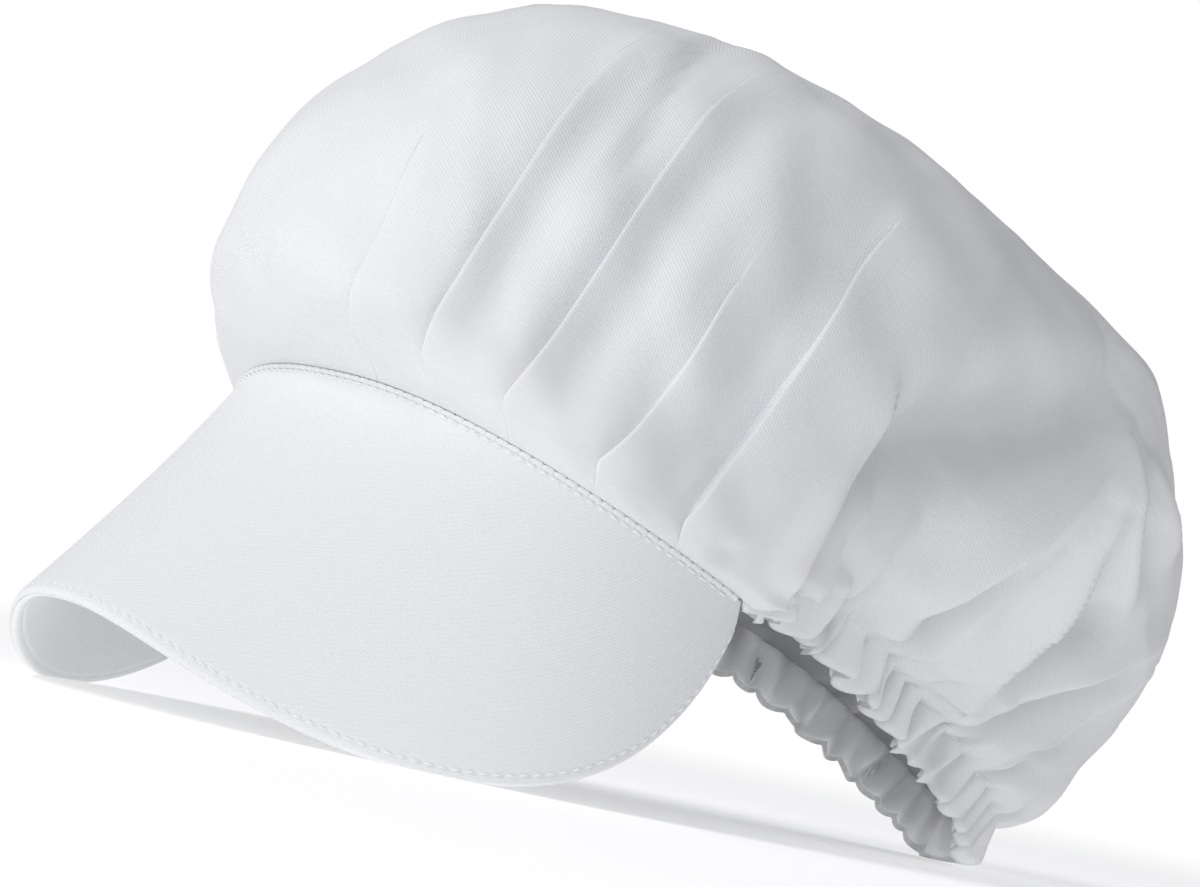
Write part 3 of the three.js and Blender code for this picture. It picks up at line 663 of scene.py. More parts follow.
def hem_rows(q, normal, rows, inner, sizes):
    """Rows of the crown's cloth below its rim: over the casing and round its edge, a narrow lap on the seam.

    rows run from 0, the cloth's edge, to 1, the rim. The turn under the edge is a quarter of an ellipse, and
    it goes further inwards near the nape.
    """
    t, side = np.abs(q), np.where(q < 0, -1.0, 1.0)
    wall = CROWN_WALL + INNER_GAP if inner else 0.0
    shape = (len(rows), len(q))
    k = np.broadcast_to(rows[:, None], shape)
    b = np.broadcast_to(hem_share(t), shape)
    if inner:
        x, z = LAP_OUT + 0 * k, LAP_TOP + INNER_LAP * (1 - k)
    else:
        turn = np.clip(k / LIP_ROWS, 0, 1) * math.pi / 2
        inward = from_share(LIP_INWARD, (b - NAPE_FROM) / LIP_INWARD_RUN)
        x = -inward + (LAP_OUT + inward) * np.sin(turn)
        straight = np.clip((k - LIP_ROWS) / (1 - LIP_ROWS), 0, 1)
        z = LIP_LOW + LIP_RISE * (1 - np.cos(turn)) + (LAP_TOP - LIP_LOW - LIP_RISE) * straight
    z = LAP_TOP - (LAP_TOP - z) * from_share(LAP_START, b / TEMPLE_CALM)
    across = np.stack([x, z, np.ones(shape)], -1)
    hem = casing_point(b, np.broadcast_to(side, shape), across, sizes, -wall)
    seam = seam_seat(q, normal, wall) - (1 - k)[..., None] * np.where(inner, 0, SEAM_TURN) * normal
    on_hem = ease((t - TEMPLE) / HEM_ONSET)[:, None]
    return seam * (1 - on_hem) + hem * on_hem


# painted shade: how deep a place lies in a fold or between gathers, which darkens the cloth's colour there
FOLD_PAINTED_SHADE = 0.6
FOLD_SHADE_DEPTH = 9
GATHER_SHADE_LEVEL = 0.3
GATHER_SHADE_DEPTH = 2.2
GATHER_SHADE_RISE = 55
SHADE_ONSET = 0.01


def painted_gather_shade(gathers, q, s):
    """Painted shade between the gathers: how deep a place lies there, ease((0.3 - relief)/2.2), dying out up
    the crown.
    """
    tau, _ = round_hem(q)
    deep = ease((GATHER_SHADE_LEVEL - gathers) / GATHER_SHADE_DEPTH) * ease((tau + SHADE_ONSET) / ONSET_RUN)
    return deep * np.exp(-s * CROWN_SPAN / GATHER_SHADE_RISE)


def pleat_fold(t, open_x, pleat, row, s, tuck, strength):
    """Sideways place and height of the columns across the pleats' edges: open ones folded by the tuck's rows.

    The fold closes as the panel sinks, fully from 0.6 mm, and opens again towards the pleat's end.
    """
    table = np.array(TUCK)
    depth, end, far = (np.array([getattr(p, k) for p in PLEATS])[pleat] for k in ("depth", "end", "far"))
    share = np.where(t < 0, far, 1)
    fade = 1 - ease((s - TUCK_FADE * end) / (TUCK_FADE_RUN * end))
    sunk = depth * share * pleat_opening(s) * fade
    fold = ease(sunk / TUCK_FULL) * strength
    closed_x = table[row, 0] * tuck * fade * share + table[row, 1]
    open_z = -sunk * (1 - ease(row / (len(TUCK) - 1)))
    closed_z = sunk * table[row, 2] - np.minimum(table[row, 3], LEAST_CLOTH * sunk)
    return open_x + (closed_x - open_x) * fold, open_z + (closed_z - open_z) * fold


def crown_grid(rows, sizes, inner):
    """Points of the crown: the smooth form moved along its normal by the relief, folded at the pleats.

    A gather also leans over sideways by a share of its relief, so that it overhangs its hollow. The rim is
    brought to its seat by a shift that fades out as 1 - ease(s/0.075). Gives each point's depth among the
    folds too, from 0 to 1, which darkens the cloth's colour there as painted shade.
    """
    t, open_x, pleat, row = (np.array(c) for c in zip(*crown_columns()))
    plain = pleat < 0
    s = rows[:, None]
    x, z = pleat_fold(t, open_x, pleat, row, s, sizes.tuck, 0 if inner else 1)
    q = t + np.where(t < 0, -1.0, 1.0) * np.where(plain, 0, x) / RIM_LENGTH
    flat = np.where(plain, q, t)
    s = np.broadcast_to(s, q.shape)
    base_q = lean(q, s)
    points, normals = smooth_crown(base_q, s), crown_normal(base_q, s)
    relief = fold_relief(points, normals, FOLDS) + fold_relief(points, normals, CREASES)
    relief = (relief + slack_relief(points)) * ease(s / RELIEF_START)
    relief = relief * (1 - ease((s - RELIEF_TOP) / (1 - RELIEF_TOP)))
    gathers = gather_relief(flat, s * CROWN_SPAN, sizes)
    height = relief + gathers + np.where(plain, -pleat_sink(q, s), z)
    over = 0 if inner else np.sign(q) * sizes.overhang * gathers / RIM_LENGTH
    wall = CROWN_WALL + INNER_SINK * np.exp(-s * CROWN_SPAN / INNER_SINK_RISE) if inner else 0
    points = smooth_crown(base_q + over, s) + normals * (height - wall)[..., None]
    below = hem_rows(q[0], normals[0], np.linspace(0, 1, 2 if inner else HEM_ROWS), inner, sizes)
    points += (below[-1] - points[0]) * (1 - ease(s / SEAT_FADE))[..., None]
    # painted shade: deep between gathers and in sunken folds the cloth's colour is darkened
    hollow = painted_gather_shade(gathers, flat, s) + FOLD_PAINTED_SHADE * ease(-relief / FOLD_SHADE_DEPTH)
    hollow = np.concatenate([np.broadcast_to(hollow[0], (len(below) - 1, len(t))), hollow])
    return np.concatenate([below[:-1], points]), np.clip(hollow, 0, 1) * (0 if inner else 1)


def grid_faces(rows, columns, closed, start=0):
    """Quads between neighbouring rows of points; in a closed grid the last column joins the first."""
    index = start + np.arange(rows * columns).reshape(rows, columns)
    left = index if closed else index[:, :-1]
    right = np.roll(index, -1, 1) if closed else index[:, 1:]
    return np.stack([left[:-1], right[:-1], right[1:], left[1:]], -1).reshape(-1, 4)


def fan_faces(ring, tip):
    """Triangles from a closed ring to its pole."""
    return np.stack([ring, np.roll(ring, -1), np.full(len(ring), tip)], -1)


def tube_faces(rows, sides):
    """A closed tube: quads round its rows, and a polygon at either end."""
    ends = [list(range(sides))[::-1], list(range((rows - 1) * sides, rows * sides))]
    return grid_faces(rows, sides, True), np.array(ends)


def circle(count):
    """Cosines and sines of evenly spaced angles."""
    a = np.linspace(0, 2 * math.pi, count, endpoint=False)
    return np.cos(a), np.sin(a)


def flat_places(x, y):
    """Pairs of places across and up the flat cloth, for each point of a grid."""
    return np.stack(np.broadcast_arrays(x, y), -1).reshape(-1, 2)


# a piece's points and faces, each point's place on the flat cloth in metres, and its depth among the folds
# for painted shade
Form = namedtuple("Form", "points faces cloth hollow", defaults=(None, None))


def mesh_object(name, points, faces, material):
    """A mesh object in the scene, from points in metres."""
    mesh = bpy.data.meshes.new(name)
    mesh.from_pydata(points.tolist(), [], [list(map(int, f)) for f in faces])
    mesh.materials.append(material)
    item = bpy.data.objects.new(name, mesh)
    bpy.context.scene.collection.objects.link(item)
    return item


def make_piece(name, form, material, slot, *nodes):
    """A smooth mesh piece of the cap, riding on its body."""
    piece = mesh_object(name, to_frame(form.points), form.faces, material)
    mesh = piece.data
    if form.cloth is not None:
        corner = np.empty(len(mesh.loops), np.int32)
        mesh.loops.foreach_get("vertex_index", corner)
        uv = mesh.uv_layers.new(name="cloth")
        uv.data.foreach_set("uv", form.cloth[corner].astype(np.float32).ravel())
    # the depth among the folds, which the cloth's material reads as painted shade
    if form.hollow is not None:
        depth = mesh.attributes.new("hollow", "FLOAT", "POINT")
        depth.data.foreach_set("value", form.hollow.astype(np.float32))
    mesh.polygons.foreach_set("use_smooth", np.ones(len(mesh.polygons), bool))
    mesh.update()
    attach(piece, "root")
    if nodes:
        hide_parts(*nodes)
    return piece


def crown_mesh(sizes):
    """Outer cloth, inner wall, the rim between them and both poles, as one closed shell."""
    rows = np.linspace(0, 1, CROWN_ROWS)[:-1] ** ROWS_CROWD
    inner_rows = np.linspace(0, 1, INNER_ROWS)[:-1] ** INNER_ROWS_CROWD
    outer, hollow = crown_grid(rows, sizes, False)
    inner, plain = crown_grid(inner_rows, sizes, True)
    # painted shade on the outer cloth only; the inner wall and the poles get none
    hollow = np.concatenate([hollow.ravel(), [0], plain.ravel(), [0]])
    m, n, k = len(outer), outer.shape[1], len(inner)
    tip = smooth_crown(np.zeros(1), np.ones(1))
    points = np.concatenate([outer.reshape(-1, 3), tip, inner.reshape(-1, 3), tip - [0, 0, CROWN_WALL]])
    start = m * n + 1
    faces = [*grid_faces(m, n, True), *fan_faces(np.arange((m - 1) * n, m * n), m * n)]
    faces += [*grid_faces(k, n, True, start)[:, ::-1]]
    faces += [*fan_faces(start + np.arange((k - 1) * n, k * n), start + k * n)[:, ::-1]]
    ring, low = np.arange(n), start + np.arange(n)
    faces += [*np.stack([ring, low, np.roll(low, -1), np.roll(ring, -1)], -1)]
    run = np.array([c[0] * RIM_LENGTH + np.sign(c[0]) * c[1] for c in crown_columns()])
    over_hem = -HEM_HEIGHT * np.linspace(1, 0, HEM_ROWS)[:-1]
    tip_place = [[0, CROWN_SPAN]]
    cloth = np.concatenate([
        flat_places(run, np.concatenate([over_hem, rows * CROWN_SPAN])[:, None]), tip_place,
        flat_places(run, np.concatenate([[-1], inner_rows * CROWN_SPAN])[:, None]), tip_place,
    ])
    return Form(points, faces, cloth / 1000, hollow)


# the peak's way out of the seam, its mesh, and the groove of its top stitching
PEAK_OUT = (-0.08, 0.76)
PEAK_FORWARDS = (-0.705, 0.24)
PEAK_DOWN = (-0.71, -2.49)
PEAK_COLUMNS = 260
PEAK_ROWS = 90
PEAK_SPREAD = 0.94
PEAK_ROWS_CROWD = 0.6
EDGE_ROUND = 0.5
EDGE_LEAST = 0.02
GROOVE_DEPTH = 0.22
GROOVE_WIDTH = 0.45
CLOTHS_APART = 0.03
PEAK_MAP = 0.12


def peak_direction(turn):
    """Way from the seam to the peak's edge: down and forwards, at the temples steeper and outwards."""
    s, k = np.sin(turn), 1 - np.cos(turn)
    return unit(np.stack([
        PEAK_OUT[0] * s + PEAK_OUT[1] * s ** 3,
        PEAK_FORWARDS[0] + PEAK_FORWARDS[1] * k,
        PEAK_DOWN[0] + PEAK_DOWN[1] * k,
    ], -1))


def peak_length(t):
    """Depth of the peak at a place along its seam: 75·(1 - |t|^3.17)^(1/1.31)."""
    return PEAK_LENGTH * np.maximum(0, 1 - np.abs(t) ** PEAK_ROUND[0]) ** (1 / PEAK_ROUND[1])


def peak_point(t, r):
    """Seam point carried along its direction by a share r of the peak's depth there."""
    turn = t * math.pi / 2
    return seam_point(turn) + peak_direction(turn) * (PEAK_GAP + peak_length(t) * r)[..., None]


def peak_normal(t, r):
    """Outward normal of the peak's sheet."""
    k = np.clip(t, -SEAM_END + 2 * STEP, SEAM_END - 2 * STEP)
    a = peak_point(k + STEP, r) - peak_point(k - STEP, r)
    return unit(np.cross(peak_direction(k * math.pi / 2), a))


def peak_mesh(upper, sizes):
    """One cloth of the peak: outer face, edge and the face against the other cloth, closed on all sides.

    The flange outside the stitches is thinner, and the cloth dips along them.
    """
    x = np.linspace(-1, 1, PEAK_COLUMNS + 1)
    spread = math.pi / 2 * PEAK_SPREAD
    t = np.broadcast_to(SEAM_END * np.sin(x * spread) / math.sin(spread), (PEAK_ROWS + 1, len(x)))
    length = peak_length(t)
    u = np.linspace(0, 1, PEAK_ROWS + 1)[:, None]
    r = np.broadcast_to(u - PEAK_ROWS_CROWD * np.sin(2 * math.pi * u) / (2 * math.pi), t.shape)
    from_edge = (1 - r) * length
    sign = 1 if upper else -1
    full, flange = PEAK_CLOTH + CLEARANCE / 2, FLANGE_CLOTH + CLEARANCE / 2
    half = flange + (full - flange) * ease(from_edge / FLANGE)
    half = half * np.sqrt(np.clip(from_edge / EDGE_ROUND, EDGE_LEAST, 1))
    groove = GROOVE_DEPTH * np.exp(-((from_edge - sizes.edge_stitch * 1000) / GROOVE_WIDTH) ** 2)
    sheet, normal = peak_point(t, r), peak_normal(t, r)
    outer = sheet + normal * (sign * (half - groove) - full)[..., None]
    inner = sheet + normal * (sign * CLOTHS_APART - full)
    for face in (outer, inner):
        face[..., 2] = np.maximum(face[..., 2], 0)
    rows, columns = t.shape
    points = np.concatenate([outer.reshape(-1, 3), inner.reshape(-1, 3)])
    count = rows * columns
    top, low = grid_faces(rows, columns, False), grid_faces(rows, columns, False, count)
    index = np.arange(count).reshape(rows, columns)
    ring = np.concatenate([index[0], index[1:, -1], index[-1, -2::-1], index[-2:0:-1, 0]])
    side = np.stack([ring, np.roll(ring, -1), np.roll(ring, -1) + count, ring + count], -1)
    if upper:
        faces = [*top[:, ::-1], *low, *side]
    else:
        faces = [*top, *low[:, ::-1], *side[:, ::-1]]
    cloth = flat_places(x * PEAK_MAP, r * length / 1000)
    return Form(points, faces, np.concatenate([cloth, cloth]))


def welt_mesh(sizes):
    """Turned edge along the seam: a low roll on the peak's upper edge, drawn in at each stitch."""
    n, m = WELT_PLACES, WELT_SIDES
    t = SEAM_END * WELT_END * np.linspace(-1, 1, n + 1)
    turn = t * math.pi / 2
    down, over = peak_direction(turn), peak_normal(t, np.zeros(n + 1))
    centre = seam_point(turn) + down * WELT_DOWN + over * WELT_LIFT
    reach = run_along(centre)
    phase = (reach / (sizes.stitch_pitch * 1000)) % 1 - 0.5
    pinch = 1 - WELT_PINCH * np.exp(-(phase / PINCH_WIDTH) ** 2)
    c, s = circle(m)
    ring = down[:, None] * c[None, :, None] + over[:, None] * s[None, :, None]
    points = centre[:, None] + ring * (WELT_RADIUS * pinch)[:, None, None]
    sides, ends = tube_faces(n + 1, m)
    girth = np.linspace(0, 2 * math.pi, m, endpoint=False) * WELT_RADIUS
    return Form(points.reshape(-1, 3), [*sides, *ends], flat_places(reach[:, None], girth) / 1000)


# casing: its grid, how its lip hangs, and how it calms at the temples and bunches up at the nape
HEM_SAMPLES = 2000
CASING_PLACES = 330
CASING_SIDES = 44
CASING_FULLNESS = 1.6
LEAST_HEIGHT = 0.35
LIP_DROP = 2.2
LIP_MEAN = 0.6
LIP_REACH = 0.5
TEMPLE_CALM = 0.05
NAPE_CALM = 0.3
NAPE_BUNCH = 1.5
NAPE_FROM = 0.72
NAPE_RUN = 0.22

# the casing's shade: where its inner side starts, and the gathers' height from which each side darkens
INNER_SIDE = -0.4
INNER_SHADE = (0.4, 3)
OUTER_SHADE = (0.8, 2.4)

# round the casing: share of the half thickness, height up the casing, how much the gather moves it
CASING = np.array([
    [-0.35, 0.09, 1.0], [-0.1, 0.1, 1.0], [0.02, 0.15, 1.0], [0.02, 0.3, 1.0], [0.0, 0.5, 1.0],
    [0.0, 0.75, 1.0], [-0.05, 0.9, 1.0], [-0.2, 0.98, 0.95], [-0.5, 1.0, 1.0], [-0.9, 0.88, 1.2],
    [-1.02, 0.65, 1.3], [-1.05, 0.4, 1.3], [-0.98, 0.22, 1.25], [-0.75, 0.1, 1.1],
])


def closed_spline(table, count):
    """Periodic Catmull-Rom curve through the table's rows, sampled at evenly spaced parameters."""
    n = len(table)
    u = np.linspace(0, n, count, endpoint=False)
    i = u.astype(int)
    f = (u - i)[:, None]
    p = [table[(i + k) % n] for k in (-1, 0, 1, 2)]
    return 0.5 * (2 * p[1] + (p[2] - p[0]) * f + (2 * p[0] - 5 * p[1] + 4 * p[2] - p[3]) * f ** 2
                  + (3 * p[1] - p[0] - 3 * p[2] + p[3]) * f ** 3)


def hem_places(count):
    """Places along the hem, evenly spaced from the left temple round the nape to the right one."""
    even = np.linspace(HEM_START, 1, HEM_SAMPLES)
    reach = run_along(hem_point(even))
    b = np.interp(np.linspace(0, reach[-1], count), reach, even)
    return np.concatenate([b, b[-2::-1]]), np.concatenate([np.ones(count), -np.ones(count - 1)])


def casing_point(b, side, across, sizes, proud=0.0):
    """Point of the casing: the section carried along the hem, moved out and in by the gathers.

    Its lip hangs lower under each gather. Near the nape the section is thicker inwards, and the lip and the
    gathers' lean are calmer. Heights z below 1 mm become exp(z - 1), so that no point goes under the floor.
    """
    point, out, up, top = hem_frame(b)
    high = np.maximum(top, LEAST_HEIGHT * HEM_HEIGHT)
    start = point + up * (top - high - CASING_GAP * (1 - ease(b / CASING_GAP_OPENS)))[..., None]
    q = rim_share(b) * side
    o, z, g = across[..., 0], across[..., 1], across[..., 2]
    o = np.where(o < 0, o * (1 + NAPE_BUNCH * ease((b - NAPE_FROM) / NAPE_RUN)), o)
    wave = gather_relief(q, (z - 1) * high, sizes)
    calm = ease((1 - b) / NAPE_CALM)
    drop = LIP_DROP * (gather_lobe(q, sizes) - LIP_MEAN) * (1 - ease(z / LIP_REACH)) * ease(b / TEMPLE_CALM)
    lean_over = hem_along(b) * (sizes.overhang * wave * calm)[..., None]
    p = start + out * (o * HEM_THICKNESS / 2 + g * wave + proud)[..., None]
    p = p + up * (z * high - drop * calm)[..., None] + lean_over
    p[..., 2] = np.where(p[..., 2] < 1, np.exp(np.minimum(p[..., 2], 1) - 1), p[..., 2])
    return mirrored(p, side * np.ones(p.shape[:-1]))


def hem_mesh(sizes):
    """Gathered casing as one closed tube, temple to temple, with painted shade in the hollows of its gathers.
    """
    b, side = (x[:, None] for x in hem_places(CASING_PLACES))
    ring = closed_spline(CASING, CASING_SIDES)
    shape = (len(b), len(ring))
    b, side = np.broadcast_to(b, shape), np.broadcast_to(side, shape)
    points = casing_point(b, side, np.broadcast_to(ring, (*shape, 3)), sizes)
    sides, ends = tube_faces(*shape)
    run = run_along(points[:, 0]) * CASING_FULLNESS
    cloth = flat_places(run[:, None], ring[:, 1] * HEM_HEIGHT) / 1000
    wave = gather_relief(rim_share(b) * side, (ring[:, 1] - 1) * HEM_HEIGHT, sizes)
    # painted shade: the inner side darker over the gathers' ridges, the outer side darker between them
    inside = ease((wave - INNER_SHADE[0]) / INNER_SHADE[1])
    hollow = np.where(ring[:, 0] < INNER_SIDE, inside, ease((OUTER_SHADE[0] - wave) / OUTER_SHADE[1]))
    hollow = (hollow * ease(b / TEMPLE_CALM)).ravel()
    return Form(points.reshape(-1, 3), [*sides, *ends], cloth, hollow)


# thread: distance of the seam's stitches below it and how far they go, a stitch's rings and sides, and its
# height at the middle and drop towards the ends in shares of its radius
SEAM_STITCH = 1.25
SEAM_STITCH_END = 0.97
SEAM_STITCH_PLACES = 900
STITCH_RINGS = 7
STITCH_SIDES = 6
STITCH_ARCH = 0.55
STITCH_BEND = 0.9
STITCH_TIP = 0.04
EDGE_STITCH_DIP = 0.2
EDGE_STITCH_LEAST = 8
EDGE_STITCH_END = 0.985
EDGE_STITCH_PLACES = 1600
CASING_STITCH = (1.05, 0.9, 1.0)
CASING_STITCH_START = 0.6
CASING_STITCH_PLACES = 1500


def stitch_mesh(path, normals, sizes):
    """A row of stitches: at every pitch along the path a spindle half sunk in the cloth.

    A spindle is a ring of 6 points carried along its length with radius r·√(1 - u²), closed at both ends.
    """
    pitch, length, radius = (1000 * x for x in (sizes.stitch_pitch, sizes.stitch_length, sizes.thread_radius))
    reach = run_along(path)
    middle = np.arange(pitch / 2, reach[-1] - pitch / 2, pitch)
    u = np.linspace(-1, 1, STITCH_RINGS)
    place = middle[:, None] + u * length / 2
    centre = table_at(place, reach, path)
    up = unit(table_at(place, reach, normals))
    side = unit(np.cross(unit(np.gradient(centre, axis=1)), up))
    arch = (radius * (STITCH_ARCH - STITCH_BEND * u ** 2))[None, :, None]
    c, s = circle(STITCH_SIDES)
    size = radius * np.sqrt(np.clip(1 - u ** 2, STITCH_TIP, 1))
    ring = side[:, :, None] * c[:, None] + up[:, :, None] * s[:, None]
    points = (centre + up * arch)[:, :, None] + ring * size[None, :, None, None]
    first = (np.arange(len(middle)) * STITCH_RINGS * STITCH_SIDES)[:, None, None]
    sides, ends = ((f + first).reshape(-1, f.shape[1]) for f in tube_faces(STITCH_RINGS, STITCH_SIDES))
    return Form(points.reshape(-1, 3), [*sides, *ends])


def seam_stitch_path():
    """Just below the seam, on the peak."""
    t = np.linspace(-SEAM_STITCH_END, SEAM_STITCH_END, SEAM_STITCH_PLACES) * SEAM_END
    r = np.minimum(0.5, SEAM_STITCH / np.maximum(peak_length(t), 0.1))
    return peak_point(t, r), peak_normal(t, r)


def edge_stitch_path(sizes):
    """Round the peak, one flange's width inside its edge, as far as the peak is deep enough."""
    x = np.linspace(-1, 1, EDGE_STITCH_PLACES)
    t = SEAM_END * np.sin(x * math.pi / 2 * EDGE_STITCH_END)
    t = t[peak_length(t) > EDGE_STITCH_LEAST]
    r = 1 - sizes.edge_stitch * 1000 / peak_length(t)
    normal = peak_normal(t, r)
    return peak_point(t, r) - normal * EDGE_STITCH_DIP, normal


def casing_stitch_path(sizes):
    """Along the casing, below its top, over the gathers."""
    b, side = hem_places(CASING_STITCH_PLACES)
    keep = b > HEM_FULL * CASING_STITCH_START
    b, side = b[keep], side[keep]
    across = np.broadcast_to(CASING_STITCH, (len(b), 3))
    path = casing_point(b, side, across, sizes)
    return path, unit(casing_point(b, side, across, sizes, 0.5) - path)


# shader maths
def set_input(tree, slot, value):
    """A link from a shader value, or a plain value, into a node's input."""
    if isinstance(value, Value):
        tree.links.new(value.socket, slot)
    else:
        slot.default_value = value


class Value:
    """A shader value. Python arithmetic on it adds Math nodes to its tree."""

    def __init__(self, tree, socket):
        self.tree, self.socket = tree, socket

    def math(self, operation, *others):
        """A Math node on this value and the others."""
        node = self.tree.nodes.new("ShaderNodeMath")
        node.operation = operation
        for slot, value in zip(node.inputs, (self, *others)):
            set_input(self.tree, slot, value)
        return Value(self.tree, node.outputs[0])

    def __add__(self, other):
        return self.math("ADD", other)

    def __mul__(self, other):
        return self.math("MULTIPLY", other)

    def sine(self):
        """Sine of the value."""
        return self.math("SINE")


class Finish:
    """A material under construction: a Principled shader and methods that add nodes."""

    def __init__(self, name):
        self.material = bpy.data.materials.new(name)
        self.material.use_nodes = True
        self.tree = self.material.node_tree
        self.shader = self.tree.nodes["Principled BSDF"]

    def node(self, kind, settings=None, output=0, **inputs):
        """A node of that kind, with its settings made first, then values or links put into its inputs."""
        node = self.tree.nodes.new("ShaderNode" + kind)
        for name, value in (settings or {}).items():
            setattr(node, name, value)
        for name, value in inputs.items():
            set_input(self.tree, node.inputs[name.replace("_", " ")], value)
        return Value(self.tree, node.outputs[output])

    def mix(self, share, first, second):
        """A colour between two others."""
        return self.node("Mix", {"data_type": "RGBA"}, output=2, Factor=share, A=first, B=second)

    def noise(self, place, scale, detail, **inputs):
        """Noise in space, from 0 to 1."""
        settings = {"noise_dimensions": "3D"}
        return self.node("TexNoise", settings, Vector=place, Scale=scale, Detail=detail, **inputs)

    def plug(self, **inputs):
        """Values or links into the shader's inputs."""
        for name, value in inputs.items():
            set_input(self.tree, self.shader.inputs[name.replace("_", " ")], value)


def tinted(colour, share=1.0):
    """A colour times a share, with its alpha."""
    return [*(c * share for c in colour), 1]


# cloth: threads to a twill line, height of the slack among them, and what changes its colour, with painted
# shade in its hollows
THREADS_PER_TWILL = 1.7
SLACK_BUMP = 9.0
LOW_TONE = 0.98
MIDDLE_TONE = 0.25
MOTTLE_TONE = 0.5
TWILL_TONE = 0.12
PAINTED_SHADE_TONE = 0.5
PAINTED_SHADE_SHARE = 0.5


def woven_cloth(name, colour, sizes, drape=1.0):
    """White woven cloth: twill lines of crossing threads on the cloth's own map, soft slack, a faint mottle.

    It is darker where it lies deep between folds or gathers, as painted shade.
    """
    finish = Finish(name)
    flat = finish.node("UVMap", {"uv_map": "cloth"})
    u = finish.node("SeparateXYZ", Vector=flat)
    v = Value(finish.tree, u.socket.node.outputs[1])
    turn = 2 * math.pi / sizes.weave_pitch
    cross = turn * THREADS_PER_TWILL
    twill = ((u + v) * turn).sine()
    threads = (u * cross).sine() * (v * cross).sine()
    place = finish.node("TexCoord", output=3)
    slack = finish.noise(place, 70.0, 3.0, Roughness=0.55)
    mottle = finish.noise(place, 900.0, 2.0)
    height = twill * 0.5 + threads * 0.5 + slack * (SLACK_BUMP * drape)
    light = mottle * MOTTLE_TONE + twill * TWILL_TONE + MIDDLE_TONE
    tone = finish.mix(light, tinted(colour, LOW_TONE), tinted(colour))
    # painted shade: the colour is darkened where the cloth lies deep among folds or gathers
    hollow = finish.node("Attribute", {"attribute_name": "hollow"}, output=2)
    tone = finish.mix(hollow * PAINTED_SHADE_SHARE, tone, tinted(colour, PAINTED_SHADE_TONE))
    bump = finish.node("Bump", Strength=0.5, Distance=0.00008, Height=height)
    finish.plug(Base_Color=tone, Roughness=mottle * 0.1 + 0.82, Normal=bump, Specular_IOR_Level=0.25,
                Sheen_Weight=0.15, Sheen_Roughness=0.5)
    return finish.material


def sewing_thread(name, colour):
    """White sewing thread with the fine twist of its plies."""
    finish = Finish(name)
    place = finish.node("TexCoord", output=3)
    ply = finish.noise(place, 4000.0, 1.0)
    bump = finish.node("Bump", Strength=0.4, Distance=0.00005, Height=ply)
    finish.plug(Base_Color=tinted(colour), Roughness=ply * 0.2 + 0.5, Normal=bump)
    return finish.material


def length_field(name, default, description):
    """A length in metres for the panel."""
    return FloatProperty(name=name, default=default, description=description, unit="LENGTH")


def colour_field(name, default, description):
    """A colour for the panel."""
    return FloatVectorProperty(name=name, default=default, description=description, subtype="COLOR")


class CapSizes(bpy.types.PropertyGroup):
    """Sizes of the sewing and the cloth."""

    stitch_pitch: length_field("Stitch pitch", 0.0027, "From one stitch to the next")
    stitch_length: length_field("Stitch length", 0.0021, "Thread that shows")
    thread_radius: length_field("Thread radius", 0.00026, "Half the thread's thickness")
    edge_stitch: length_field("Edge stitching", 0.0021, "From the peak's edge to its top stitching")
    tuck: FloatProperty(name="Tuck", default=3.5, description="How far a panel runs under a pleat, in mm")
    gathers: IntProperty(name="Gathers", default=21, description="Gathers on each side of the hem")
    gather_height: FloatProperty(name="Gather height", default=1.2, description="Scale of their height")
    overhang: FloatProperty(name="Overhang", default=0.14, description="A gather's lean by its height")
    weave_pitch: length_field("Weave pitch", 0.0008, "Between two twill lines")


class CapColours(bpy.types.PropertyGroup):
    """Colours of the cloths and the stage."""

    crown: colour_field("Crown", (0.88, 0.885, 0.9), "Crown's cloth")
    peak: colour_field("Peak", (0.865, 0.872, 0.885), "Peak's cloth")
    lining: colour_field("Lining", (0.93, 0.935, 0.94), "Peak's lower cloth")
    hem: colour_field("Hem", (0.865, 0.87, 0.885), "Hem's cloth")
    thread: colour_field("Thread", (0.88, 0.885, 0.9), "Sewing thread")
    floor: colour_field("Floor", (0.9, 0.9, 0.9), "Pale floor")


PEAK_DRAPE = 0.25


class CapMaker:
    """What the makers of the pieces share."""

    def execute(self, context):
        self.make(context.scene.cap_sizes, context.scene.cap_colours)
        return {"FINISHED"}


class CAP_OT_crown(CapMaker, bpy.types.Operator):
    """Make the crown's pleated cloth"""

    bl_idname = "cap.crown"
    bl_label = "Crown"

    def make(self, sizes, colours):
        material = woven_cloth("crown cloth", colours.crown, sizes)
        make_piece("crown_cloth", crown_mesh(sizes), material, "crown_cloth", "crown")


class CAP_OT_peak(CapMaker, bpy.types.Operator):
    """Make the peak's two cloths and the turned edge along its seam"""

    bl_idname = "cap.peak"
    bl_label = "Peak"

    def make(self, sizes, colours):
        cloth = woven_cloth("peak cloth", colours.peak, sizes, PEAK_DRAPE)
        lining = woven_cloth("peak lining", colours.lining, sizes, PEAK_DRAPE)
        make_piece("peak_upper_cloth", peak_mesh(True, sizes), cloth, "peak_cloth", "peak_top")
        make_piece("peak_lower_cloth", peak_mesh(False, sizes), lining, "peak_lining", "peak_underside")
        make_piece("welt", welt_mesh(sizes), cloth, "peak_cloth", "seam_welt")


class CAP_OT_hem(CapMaker, bpy.types.Operator):
    """Make the gathered casing of the elastic"""

    bl_idname = "cap.hem"
    bl_label = "Elastic hem"

    def make(self, sizes, colours):
        material = woven_cloth("hem cloth", colours.hem, sizes)
        make_piece("hem_casing", hem_mesh(sizes), material, "hem_cloth", "elastic_hem")


